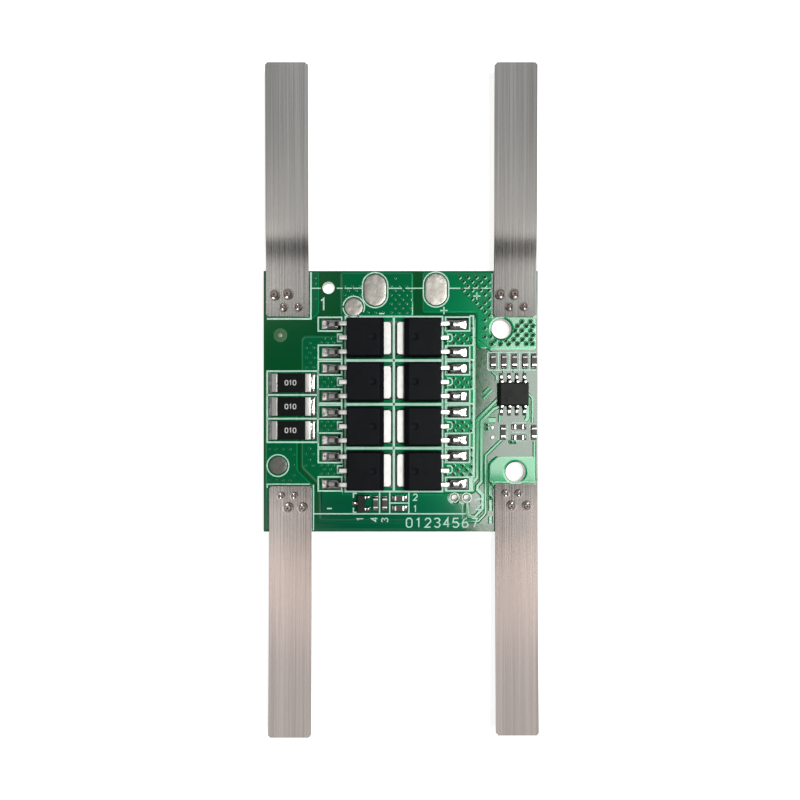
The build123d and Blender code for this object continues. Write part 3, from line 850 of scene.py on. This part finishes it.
# Each digit's lines, on a field 1 wide and 1.6 high
DIGITS = {
    "0": [[(0.25, 0), (0.75, 0), (1, 0.3), (1, 1.3), (0.75, 1.6), (0.25, 1.6), (0, 1.3), (0, 0.3),
           (0.25, 0)]],
    "1": [[(0.2, 1.3), (0.55, 1.6), (0.55, 0)]],
    "2": [[(0, 1.25), (0.25, 1.6), (0.75, 1.6), (1, 1.3), (1, 1.0), (0, 0), (1, 0)]],
    "3": [[(0, 1.4), (0.25, 1.6), (0.75, 1.6), (1, 1.3), (0.75, 0.85), (0.4, 0.85)],
          [(0.75, 0.85), (1, 0.5), (1, 0.3), (0.75, 0), (0.25, 0), (0, 0.25)]],
    "4": [[(0.75, 0), (0.75, 1.6), (0, 0.5), (1, 0.5)]],
    "5": [[(1, 1.6), (0.1, 1.6), (0, 0.9), (0.7, 0.95), (1, 0.6), (1, 0.3), (0.7, 0), (0.2, 0),
           (0, 0.2)]],
    "6": [[(0.8, 1.6), (0.3, 1.4), (0, 0.8), (0, 0.3), (0.25, 0), (0.75, 0), (1, 0.3), (1, 0.6),
           (0.75, 0.9), (0.1, 0.8)]],
    "7": [[(0, 1.6), (1, 1.6), (0.4, 0)]],
}


def numerals(text, x, y, height, turn, width, low=BOARD_TOP, high=SILK_TOP):
    """Plain digits as ribbons, centred on a point."""
    pitch = 1.45
    shells = []
    for number, digit in enumerate(text):
        start = (number - (len(text) - 1) / 2) * pitch - 0.5
        for line in DIGITS[digit]:
            local = (np.array(line) + (start, -0.8)) * height / 1.6
            shells.append(copies(ribbon(local, width, low, high), [(x, y, turn)]))
    return shells


# Printed lines that recur for each pair of transistors: width, then points
ROW_PRINT = (
    (SILK_WIDTH, (-9.5, 11.0), (-10.35, 11.0), (-10.35, 9.84), (-9.5, 9.84)),
    (SILK_WIDTH, (11.3, 14.0), (11.93, 14.0), (11.93, 9.24), (11.3, 9.24)),
    (0.2, (7.6, 11.0), (8.2, 11.0), (8.45, 10.75), (8.45, 10.1), (8.2, 9.84), (7.6, 9.84)),
)


def print_lines():
    """Printed outlines: a width and a line of (x, y) points for each."""
    lines = []

    def draw(width, *paths):
        lines.extend((width, path) for path in paths)

    def level(width, y, *spans):
        draw(width, *[((x0, y), (x1, y)) for x0, x1 in spans])

    def upright(width, y0, y1, *places):
        draw(width, *[((x, y0), (x, y1)) for x in places])

    def box(width, x0, x1, y0, y1):
        draw(width, ((x0, y0), (x1, y0), (x1, y1), (x0, y1), (x0, y0)))

    level(0.18, 18.55, (-14.6, -13.1), (-10.5, -9.5), (-9.2, -8.0), (-7.8, -6.35), (-2.05, 0.2),
          (0.8, 3.62), (7.95, 9.8), (10.4, 11.3), (11.8, 12.7), (13.2, 14.8))
    draw(0.28, ((-14.74, 21.2), (-14.74, 13.53), (-21.95, 13.53)))
    upright(0.2, 21.0, 13.6, 15.03)
    upright(0.25, 21.2, 13.6, 22.2)
    draw(0.2, ((-21.9, -14.2), (-21.9, -13.6), (-14.9, -13.6)))
    upright(0.2, -13.7, -21.2, -14.32)
    level(0.15, -13.25, (15.35, 22.2))
    level(0.2, -18.47, (-14.2, 10.7))
    left, right, bottom, top = -9.07, 6.87, -14.8, 13.9
    box(0.26, left, right, bottom, top)
    upright(0.36, top, bottom, -1.12)
    for dy in ROWS:
        if dy:
            level(0.44, top + dy, (left, right))
        for x0, x1, y0, y1 in LEFT_BOXES + RIGHT_BOXES:
            box(SILK_WIDTH, x0, x1, y0 + dy, y1 + dy)
        for width, *points in ROW_PRINT:
            draw(width, [(x, y + dy) for x, y in points])
    box(0.26, *SHUNT_SPAN, -6.72, 4.95)
    level(0.28, 1.04, SHUNT_SPAN)
    level(0.28, -2.85, SHUNT_SPAN)
    upright(0.2, -14.95, -18.35, -3.46, -1.8, 1.34)
    level(0.2, -16.7, (-1.7, 1.25))
    draw(0.22, ((-7.2, -15.1), (-7.75, -15.1), (-7.75, -15.85)),
         ((-7.2, -18.2), (-7.75, -18.2), (-7.75, -17.45)))
    upright(0.2, 7.95, 5.2, 14.3, 16.04, 17.78, 19.52, 21.12)
    level(0.18, 5.12, (14.3, 22.2))
    level(0.14, 8.02, (14.3, 22.2))
    upright(0.14, -3.9, -6.3, 16.1, 17.45, 21.15)
    for y in (-3.55, -5.06, -6.5):
        level(0.14, y, (18.2, 20.6))
    draw(0.2, *[closed_line(stadium(x, y, 2.08, 2.88, 12)) for x, y in WIRE_LANDS])
    draw(0.2, circle(*ROUND_LANDS[0], 1.76, 40, -28, 172),
         circle(*ROUND_LANDS[0], 1.76, 20, 184, 300),
         closed_line(circle(*ROUND_LANDS[1], 1.78, 48)))
    level(0.22, 14.4, (-3.55, -2.75))
    level(0.22, -17.6, (-12.1, -11.3))
    for x, y in PLUS_SIGNS:
        level(0.2, y, (x - 0.6, x + 0.6))
        upright(0.2, y + 0.6, y - 0.6, x)
    return lines


# Printed digits: text, x, y, height, turn and width of line
NUMBERS = [
    ("1", -12.7, 15.9, 1.9, 0, 0.24), ("2", 12.9, -16.9, 1.8, 0, 0.22),
    ("1", -6.64, -19.3, 1.0, 90, 0.16), ("4", -4.3, -19.4, 1.0, 90, 0.16),
    ("3", -2.62, -19.5, 1.0, 90, 0.16), ("2", 2.4, -15.75, 1.0, 0, 0.16),
    ("1", 2.4, -17.65, 1.0, 0, 0.16),
] + [(str(number), 1.4 + 1.53 * number, -19.93, 1.45, 0, 0.2) for number in range(8)]


def printing():
    """All the print on the board, in one thin layer of ink."""
    shells = [ribbon(points, width, BOARD_TOP, SILK_TOP) for width, points in print_lines()]
    for number in NUMBERS:
        shells += numerals(*number)
    make_piece("printing", shells, INK, sharp=50)


# Lands and solder


def near(x, y, low, high, fall):
    """1 on a rectangle, fading outside it with distance as an exponential does."""
    dx = np.maximum(np.maximum(low[0] - x, x - high[0]), 0)
    dy = np.maximum(np.maximum(low[1] - y, y - high[1]), 0)
    return np.exp(-np.hypot(dx, dy) / fall)


def uneven(x, y, size, depth):
    """A smooth unevenness: the product of slow waves along two slanted directions."""
    x, y = x / size, y / size
    return depth * np.sin(x + 1.7 * np.sin(y)) * np.cos(1.3 * y - 0.6 * x)


def joint(inner, outer, half_width, foot, rise, fall, seed=0.0):
    """Solder on a land from inner to outer along X, banked round a foot (from, to, half width).

    The bank adds rise at the foot, fading by near() over fall, and seed shifts the unevenness.
    """

    def height(x, y):
        bank = near(x, y, (foot[0], -foot[2]), (foot[1], foot[2]), fall)
        return 0.15 + rise * bank + uneven(x + seed, y, 0.24, 0.045)

    return pillow((inner, -half_width), (outer, half_width), height)


def wire_hole_masks():
    """A ring of mask on each wire hole's rim, which leaves the rim's edge bare."""
    rings = [
        ribbon(closed_line(circle(x, y, 0.59)), 0.20, BOARD_TOP + 0.055, BOARD_TOP + 0.072)
        for x, y in wire_holes()
    ]
    make_piece("wire_hole_masks", rings, MASK_ON_COPPER)


def wire_lands():
    """The wire lands, round lands, fiducial and spare lands, each tinned and domed."""
    slope = [
        (0.0, 0.0), (0.0, 0.05), (0.03, 0.085), (0.08, 0.1), (0.2, 0.112), (0.4, 0.12),
        (0.65, 0.125), (0.95, 0.128), (1.25, 0.13),
    ]
    shells = []
    for places, half_x, half_y in ((WIRE_LANDS, 1.8, 2.6), (ROUND_LANDS, 1.475, 1.475)):
        for place in places:
            points, faces = dome(*place, half_x, half_y, slope, 14)
            wave = uneven(points[:, 0], points[:, 1], 0.45, 0.014)
            points[:, 2] += (points[:, 2] > BOARD_TOP + 0.09) * wave
            shells.append((points, faces))
    for x, y, half in ((*FIDUCIAL, 0.40), *[(*place, 0.33) for place in SPARE_LANDS]):
        shells.append(dome(x, y, half, half, [(0, 0), (0, 0.05), (0.05, 0.1), (0.2, 0.12)], 8))
    make_piece("tinned_lands", shells, LAND, ["bare_lands"])


def fiducial_opening():
    """The bare laminate in the mask's opening round the fiducial."""
    rings = [disc(r, z, *FIDUCIAL) for r, z in ((1.13, -0.02), (1.13, 0.004), (1.10, 0.008))]
    make_piece("fiducial_opening", [moulding(rings, BOARD_TOP, 10)], LAMINATE)


# Parts on the board

LEAD_OFFSETS = -2.286, 2.286
LEAD_REACH = 5.9
LEAD_SIZE = 0.76, 0.5, 0.08
MOSFET_HEIGHT = 2.3
TAB_HALF = 2.675
TAB_END = -4.2


def mosfet_nodes(kind):
    return [f"mosfet_{kind}_{number}" for number in range(1, 9)]


def mosfet_places():
    """Centre and turn of each power transistor: the left column's leads point to -X."""
    centres = [centre_mm(node) for node in mosfet_nodes("body")]
    return [(x, y, 180 if x < -1 else 0) for x, y, _ in centres]


def mosfet_bodies():
    """Drafted bodies with soft edges, a fine step at the parting line and a round ejector mark."""
    rings = [
        (2.91, 3.11, 0.22, 0.01), (2.95, 3.15, 0.25, 0.08), (3.03, 3.23, 0.25, 1.10),
        (3.05, 3.25, 0.25, 1.13), (3.05, 3.25, 0.25, 1.17), (3.025, 3.23, 0.25, 1.20, 0.01),
    ]
    for step in np.linspace(0, math.pi / 2, 5):
        inset, z = 0.13 * (1 - math.cos(step)), MOSFET_HEIGHT - 0.13 * (1 - math.sin(step))
        share = (z - 1.2) / 1.1
        size = 3.025 - 0.465 * share - inset, 3.23 - 0.26 * share - inset
        rings.append((*size, 0.30, z, 0.01 + 0.2 * share))
    rings.append((2.40, 2.81, 0.28, MOSFET_HEIGHT, 0.21))
    for radius, drop in ((0.60, 0), (0.56, 0), (0.50, 0.05), (0.42, 0.10), (0.2, 0.11)):
        rings.append(disc(radius, MOSFET_HEIGHT - drop, -1.3))
    bodies = copies(moulding(rings, SEAT, 7), mosfet_places())
    make_piece("mosfet_bodies", [bodies], MOULD, mosfet_nodes("body"), sharp=50)


def mosfet_leadframes():
    """Tab with soft edges and clipped corners, two gull-wing leads and the cut middle lead."""
    tab_rings = []
    for inset, z in ((0.07, 0), (0.02, 0.03), (0, 0.08), (0, 0.42), (0.02, 0.47), (0.08, 0.5)):
        half, end = TAB_HALF - inset, TAB_END + inset
        outline = [(0.35, half, 0.05), (TAB_END + 0.3, half, 0.08), (end, TAB_HALF - 0.3, 0.08)]
        outline = [(x, -y, radius) for x, y, radius in outline[::-1]] + outline
        tab_rings.append(raised(soften(outline, 3), SEAT + z))
    rise, rest = SEAT + 1.15, SEAT + 0.25
    bend = gull_path(2.2, LEAD_REACH, 4.54, steepness=3.2, rise=rise, rest=rest)
    shells = [tube_shell(np.stack(tab_rings))]
    shells += [swept_bar(bend, *LEAD_SIZE, y) for y in LEAD_OFFSETS]
    shells.append(swept_bar([(x, rise) for x in (2.2, 2.8, 3.5, 4.14, 4.2)], *LEAD_SIZE))
    frames = [copies(shell, mosfet_places()) for shell in shells]
    piece = make_piece("mosfet_leadframes", frames, LEAD, mosfet_nodes("leadframe"), sharp=24)
    matt = np.concatenate([
        np.full(len(points), part == 0) for part, (points, _) in enumerate(frames)
    ])
    height = np.concatenate([points[:, 2] for points, _ in frames])
    mark(piece, "matt", matt)
    mark(piece, "dull", np.clip((SEAT + 0.9 - height) / 0.3, 0, 1) * ~matt)


def mosfet_joints():
    """Solder at the leads' feet and a thin line of it round each tab."""
    joints = []
    for number, place in enumerate(mosfet_places()):
        for y in LEAD_OFFSETS:
            foot = 4.7, LEAD_REACH, 0.38
            seed = 2.3 * number + y
            points, faces = joint(4.15, 7.25, 0.8, foot, rise=0.34, fall=0.33, seed=seed)
            joints.append(copies((points + (0, y, 0), faces), [place]))

    def tab_height(x, y):
        return 0.13 + 0.28 * near(x, y, (TAB_END, -TAB_HALF), (0.3, TAB_HALF), 0.09)

    round_tab = pillow((-4.42, -2.9), (0.5, 2.9), tab_height, 22, 26)
    joints.append(copies(round_tab, mosfet_places()))
    make_piece("mosfet_joints", joints, SOLDER, ["mosfet_solder"], sharp=60)


def two_ended(prefix, nodes, terminal_nodes, finish, cap, height, coat, reach, soft, dull):
    """Two-ended parts: a coated body between two rounded end caps, from the nodes' boxes.

    Cap is a cap's length and height its height, coat is how much the body rises over it, reach how
    far it goes past the box's end, and soft its edges' radius. The top of the far one falls
    outwards with the square of the distance.
    """
    bodies, caps = [], []
    for node in nodes:
        low, high = box_mm(node)
        axis = int(lies_along_y(low, high))
        along = np.eye(3)[axis]
        inset = (cap - 0.12) * along + 0.015 * np.eye(3)[1 - axis]
        low[2], high[2] = SEAT + 0.02, SEAT + height + coat
        bodies.append(soft_block(low + inset, high - inset, 0.03, 0.03, 3))
        low[2], high[2] = SEAT, SEAT + height
        low, high = low - reach * along, high + reach * along
        spare = (high[axis] - low[axis] - cap) * along
        caps.append(soft_block(low, high - spare, soft, soft))
        points, faces = soft_block(low + spare, high, soft, soft)
        outward = np.clip((points[:, axis] - (low + spare)[axis]) / cap, 0, 1)
        points[:, 2] -= 0.12 * height * outward**2 * (points[:, 2] > SEAT + 0.2)
        caps.append((points, faces))
    make_piece(f"{prefix}_bodies", bodies, finish, nodes)
    piece = make_piece(f"{prefix}_end_caps", caps, LEAD, terminal_nodes, sharp=50)
    mark(piece, "dull", np.full(len(piece.data.vertices), dull))


def shunts():
    """Three shunt resistors with plain digits on their coats."""
    nodes, terminals = ([f"shunt_{kind}_{n}" for n in (1, 2, 3)] for kind in ("body", "terminals"))
    two_ended(
        "shunt", nodes, terminals, COAT,
        cap=0.95, height=0.65, coat=0.04, reach=0.08, soft=0.09, dull=0.7,
    )
    joints, digits = [], []
    for node in nodes:
        x, y, _ = centre_mm(node)
        top = box_mm(node)[1][2]
        digits += numerals("010", x - 0.1, y, 0.72, 0, 0.15, top - 0.01, top + 0.012)
        side = joint(2.05, 3.85, 1.65, (2.0, 3.2, 1.5), rise=0.36, fall=0.22, seed=y)
        joints.append(copies(side, [(x, y, 0), (x, y, 180)]))
    make_piece("shunt_digits", digits, DIGIT_INK)
    make_piece("shunt_joints", joints, SOLDER, ["shunt_solder"], sharp=60)


def packaged(part, rings, corner_points, pins, path, pin_size, solder):
    """A moulded case and its pins, each at (x, y, turn) from its middle. Gives the pins' solder.

    Path, pin size and solder are what gull_path, swept_bar and joint take; the path's rise and rest
    count from the seat.
    """
    x, y, _ = centre_mm(f"{part}_body")
    case = copies(moulding(rings, SEAT, corner_points), [(x, y)])
    make_piece(f"{part}_case", [case], IC_MOULD, [f"{part}_body"], sharp=50)
    start, end, middle, steepness, rise, rest = path
    bend = gull_path(start, end, middle, steepness, SEAT + rise, SEAT + rest)
    places = [(x + dx, y + dy, turn) for dx, dy, turn in pins]
    leads = copies(swept_bar(bend, *pin_size), places)
    make_piece(f"{part}_leads", [leads], LEAD, [f"{part}_pins"])
    return copies(joint(*solder), places)


def controller():
    """The controller: a drafted body with a round mark, and its eight pins."""
    rings = [
        (2.28, 1.78, 0.12, 0.1), (2.33, 1.83, 0.15, 0.14), (2.43, 1.93, 0.15, 0.77),
        (2.45, 1.95, 0.15, 0.79), (2.45, 1.95, 0.15, 0.81), (2.43, 1.93, 0.15, 0.83),
        (2.23, 1.73, 0.18, 1.47), (2.21, 1.71, 0.18, 1.52), (2.16, 1.66, 0.16, 1.55),
        (2.12, 1.62, 0.16, 1.55),
    ]
    for radius, z in ((0.45, 1.55), (0.41, 1.55), (0.38, 1.515), (0.2, 1.50)):
        rings.append(disc(radius, z, -1.5, -1.0))
    pins = [(dx, 0, turn) for turn in (90, -90) for dx in (-1.905, -0.635, 0.635, 1.905)]
    return packaged(
        "controller", rings, 6, pins, path=(1.6, 3.05, 2.36, 9.0, 0.8, 0.1),
        pin_size=(0.42, 0.2, 0.04), solder=(2.15, 3.5, 0.3, (2.4, 3.05, 0.21), 0.16, 0.14),
    )


def small_transistor():
    """The small transistor with one pin to the left and two to the right."""
    rings = [
        (0.57, 1.37, 0.06, 0.05), (0.60, 1.40, 0.08, 0.09), (0.65, 1.45, 0.08, 0.54),
        (0.65, 1.45, 0.08, 0.56), (0.55, 1.35, 0.10, 0.99), (0.53, 1.33, 0.10, 1.03),
        (0.49, 1.29, 0.08, 1.05), (0.46, 1.26, 0.08, 1.05),
    ]
    return packaged(
        "transistor", rings, 5, [(0, 0, 180), (0, 0.95, 0), (0, -0.95, 0)],
        path=(0.5, 1.25, 0.84, 14.0, 0.55, 0.065), pin_size=(0.42, 0.13, 0.03),
        solder=(0.65, 1.55, 0.375, (0.85, 1.25, 0.21), 0.12, 0.12),
    )


def chips():
    """Thirteen chip resistors and capacitors, and the solder at their ends."""
    places = []
    for row, count in (("top", 5), ("middle", 4), ("bottom", 4)):
        nodes = [f"chip_{row}_{number}" for number in range(1, count + 1)]
        two_ended(
            f"chip_{row}", nodes, [f"chip_terminals_{row}"], CHIP,
            cap=0.32, height=0.45, coat=0.02, reach=0.05, soft=0.05, dull=0.35,
        )
        for node in nodes:
            low, high = box_mm(node)
            x, y = (low + high)[:2] / 2
            turn = 90 * lies_along_y(low, high)
            places += [(x, y, turn), (x, y, turn + 180)]
    return copies(joint(0.4, 1.25, 0.45, (0.4, 0.8, 0.38), rise=0.30, fall=0.13), places)


# Nickel strips

STRIP_THICKNESS = 0.15
ACROSS_TOP = 92
ACROSS_UNDER = 12
WELDS = {
    "upper_left": [
        (1.5, -0.68, 0.50), (1.55, 1.72, 0.50), (3.5, -2.08, 0.68), (3.65, 0.06, 0.68),
    ],
    "upper_right": [
        (1.6, -0.91, 0.50), (1.6, 1.47, 0.50), (3.65, -2.43, 0.68), (3.65, -0.14, 0.68),
    ],
    "lower_left": [
        (1.58, -0.58, 0.44), (1.58, 1.56, 0.44), (3.49, -1.96, 0.62), (3.49, 0.39, 0.66),
    ],
    "lower_right": [
        (1.55, -0.36, 0.44), (1.55, 1.75, 0.44), (3.55, -1.71, 0.60), (3.55, 0.82, 0.62),
    ],
}


def strip_profile(along, length, lift, bend):
    """Rise of a strip: level over its weld plate, then by the power 1.5 of the distance to its end.

    The share bend of the rise is taken in one soft step 11 mm along, as a hyperbolic tangent.
    """
    slow = np.clip((along - 5.0) / (length - 5.0), 0, 1) ** 1.5
    step = 0.5 + 0.5 * np.tanh((along - 11.2) / 2.2)
    return lift * ((1 - bend) * slow + bend * step)


def nickel_strip(place, welds):
    """A brushed strip. Its top is a grid along and across; each weld is a pit in a raised rim.

    A weld's depth falls with the square of the distance from its middle, and its rim is a narrow
    bell round its edge. Welds are (along, across, radius), and the section's rows are (share of
    the half width, inset, drop).
    """
    node = f"nickel_strip_{place}"
    low, high = box_mm(node)
    upper = place.startswith("upper")
    length, half = high[1] - low[1], (high[0] - low[0]) / 2
    along = np.concatenate([
        np.linspace(0, 0.12, 4, endpoint=False), np.linspace(0.12, 5.2, 68, endpoint=False),
        np.linspace(5.2, length - 0.5, 60, endpoint=False), np.linspace(length - 0.5, length, 6),
    ])
    clip = np.maximum(0.35 - np.minimum(along, length - along), 0)
    flank = [(0.02, 0.02), (0, 0.05), (0, 0.10), (0.02, 0.13)]
    section = [(share, 0.05, 0) for share in np.linspace(-1, 1, ACROSS_TOP)]
    section += [(1, *step) for step in flank]
    section += [(share, 0.05, STRIP_THICKNESS) for share in np.linspace(1, -1, ACROSS_UNDER)]
    section += [(-1, *step) for step in flank[::-1]]
    share, inset, below = np.array(section).T
    across = share * (half - clip[:, None] - inset)
    y = np.broadcast_to(along[:, None], across.shape)
    heat, sink = np.zeros(across.shape), np.zeros(across.shape)
    for weld_y, weld_x, radius in welds:
        distance = np.hypot(y - weld_y, across - weld_x)
        pit = np.clip(1 - (distance / radius) ** 2, 0, 1)
        rim = np.exp(-(((distance - radius) / 0.13) ** 2))
        sink += (below == 0) * (0.035 * rim - 0.14 * pit)
        heat = np.maximum(heat, np.exp(-((np.maximum(distance - 0.8 * radius, 0) / 0.35) ** 2)))
    ripple = 0.006 * np.sin(along / 2.9 + 1.3 * half)
    ripple = ripple * np.clip((along - 5) / 4, 0, 1) * np.clip((length - along) / 4, 0, 1)
    lift = high[2] - low[2] - STRIP_THICKNESS
    rise = strip_profile(along, length, lift, 0.46 if upper else 0.0) + ripple
    z = low[2] + STRIP_THICKNESS + rise[:, None] - below + sink
    shell = tube_shell(np.stack([across, y, z], -1))
    origin = ((low[0] + high[0]) / 2, low[1] if upper else high[1], 0 if upper else 180)
    piece = make_piece(f"strip_{place}", [copies(shell, [origin])], NICKEL, [node], sharp=50)
    mark(piece, "weld_heat", heat * (1.0 if upper else 0.6) * (below < 0.05))


# Studio

# Tones of the sky: y/z, then red, green and blue
SKY_TONES = (
    (-1.0, 0.08, 0.08, 0.08), (-0.60, 0.50, 0.47, 0.45), (-0.40, 0.70, 0.64, 0.61),
    (-0.30, 0.62, 0.57, 0.58), (-0.21, 2.15, 1.72, 1.55), (-0.155, 1.20, 1.22, 1.22),
    (-0.08, 1.00, 1.02, 1.00), (0.05, 0.70, 0.70, 0.70), (0.15, 0.65, 0.65, 0.63),
    (0.22, 1.45, 1.45, 1.42), (0.33, 0.51, 0.51, 0.49), (0.42, 0.40, 0.41, 0.41),
    (0.52, 0.31, 0.32, 0.325), (0.70, 0.40, 0.40, 0.40), (1.0, 0.08, 0.08, 0.08),
)


def sky():
    """The studio's light by direction, as x/z and y/z, the slopes away from straight up.

    It is dark overhead, in a cross that the camera and its arms fill. Elsewhere its tone follows
    y/z, as panels one behind the other do, with a warm one at the front. Low down it is even grey.
    """
    world = Shader("studio", bpy.data.worlds)
    bpy.context.scene.world = world.material
    direction = world.coordinates("Generated")
    up = world.maths("MAXIMUM", world.part_of(direction, 2), 0.05)
    side = abs(world.maths("DIVIDE", world.part_of(direction, 0), up))
    front = world.maths("DIVIDE", world.part_of(direction, 1), up)
    stops = [((position + 1) / 2, tone) for position, *tone in SKY_TONES]
    tone = world.ramp(world.between(front, -1.0, 1.0), stops)
    reach = abs(front - 0.02)
    arm = world.between(reach, 0.10, 0.16, 0.18, 0.0)
    beside = world.between(side - arm, 0.10, 0.22)
    beyond = world.between(reach, 0.235, 0.27)
    open_sky = world.maths("MAXIMUM", beside, beyond)
    strength = (0.01 + 0.99 * open_sky) * world.between(side, 0.5, 1.0, 1.0, 0.08)
    low = world.between(up, 0.35, 0.6, 1.0, 0.0)
    tone = world.blend(low, tone, (0.38, 0.38, 0.38))
    strength = world.maths("MAXIMUM", strength, low)
    light = world.node("Background", {}, {"Color": tone, "Strength": strength})
    white = world.node("Background", {}, {"Strength": 1.0})
    seen = world.node("LightPath", {}, {}, "Is Camera Ray")
    mixed = world.node("MixShader", {}, {0: seen, 1: light, 2: white})
    world.node("OutputWorld", {}, {"Surface": mixed})


# Name, place and size in metres, radiance, turn, and EXCLUDE for a lamp that is flagged off the
# strips or INCLUDE for one that lights them alone
LAMPS = (
    ("softbox_right", (0.108, 0.010, 0.30), (0.115, 0.106), 15.0, -14.0, "EXCLUDE"),
    ("softbox_low_right", (0.053, -0.059, 0.30), (0.019, 0.042), 22.0, -10.0, "EXCLUDE"),
    ("softbox_side", (0.21, 0.04, 0.28), (0.08, 0.10), 17.0, 0.0, "EXCLUDE"),
    ("weld_glint_back", (0.0, 0.37, 0.28), (0.12, 0.07), 30.0, 0.0, "INCLUDE"),
    ("weld_glint_front", (0.0, -0.35, 0.28), (0.12, 0.07), 15.0, 0.0, "INCLUDE"),
)


def softbox(name, place, size, radiance, turn, state):
    """A lamp of this radiance facing the board's middle, turned by so many degrees in its plane."""
    lamp = bpy.data.lights.new(name, "AREA")
    lamp.shape = "RECTANGLE"
    lamp.size, lamp.size_y = size
    lamp.energy = radiance * math.pi * size[0] * size[1]
    lamp.color = (1.0, 0.99, 0.97)
    holder = add_object(name, lamp)
    holder.location = place
    facing = (-Vector(place)).to_track_quat("-Z", "Y") @ Quaternion((0, 0, 1), math.radians(turn))
    holder.rotation_euler = facing.to_euler()
    linked = bpy.data.collections.new(name + "_pieces")
    for strip in WELDS:
        linked.objects.link(bpy.data.objects[f"strip_{strip}"])
    for member in linked.collection_objects:
        member.light_linking.link_state = state
    holder.light_linking.receiver_collection = linked


def white_floor():
    """A floor that looks white to the camera and in reflections, and keeps the shadow."""
    shader = Shader("floor")
    shown = 0.0
    for ray in ("Is Transmission Ray", "Is Glossy Ray", "Is Camera Ray"):
        shown = shader.maths("MAXIMUM", shader.node("LightPath", {}, {}, ray), shown)
    matt = shader.node("BsdfDiffuse", {}, {"Color": (0.5, 0.5, 0.5)})
    glow = shader.node("Emission", {}, {"Color": (1, 1, 1), "Strength": 0.75 * shown})
    both = shader.node("AddShader", {}, {0: matt, 1: glow})
    shader.node("OutputMaterial", {}, {"Surface": both})
    mesh = bpy.data.meshes.new("floor")
    far, depth = 1.5, -2e-5
    corners = [(x * far, y * far, depth) for x, y in ((-1, -1), (1, -1), (1, 1), (-1, 1))]
    mesh.from_pydata(corners, [], [(0, 1, 2, 3)])
    mesh.materials.append(shader.material)
    floor = add_object("floor", mesh)


def camera():
    """Looks straight down from 100 mm above the board; the shift puts the board where it is."""
    distance, field, film = 100.0, 131.36, 36.0
    eye = bpy.data.cameras.new("camera")
    eye.sensor_width = film
    eye.lens = film * distance / field
    eye.shift_x = -0.107 / field
    eye.shift_y = 3.213 / field
    eye.clip_start = 0.005
    holder = add_object("camera", eye)
    holder.location = (0, -3.0 * MM, (distance + BOARD_TOP) * MM)
    bpy.context.scene.camera = holder


dress(["circuit_board"], MASK_ON_LAMINATE)
dress(["plated_holes", "strip_lands"], LAND)
dress([f"weld_plate_{place}" for place in WELDS], PLATE_NICKEL)
copper_pours()
copper_traces()
vias()
printing()
wire_hole_masks()
wire_lands()
fiducial_opening()
mosfet_bodies()
mosfet_leadframes()
mosfet_joints()
shunts()
small_joints = [controller(), small_transistor(), chips()]
make_piece("small_joints", small_joints, SOLDER, ["small_part_solder"], sharp=60)
for place, welds in WELDS.items():
    nickel_strip(place, welds)
sky()
for lamp in LAMPS:
    softbox(*lamp)
white_floor()
camera()

bpy.context.scene.view_settings.view_transform = "Standard"
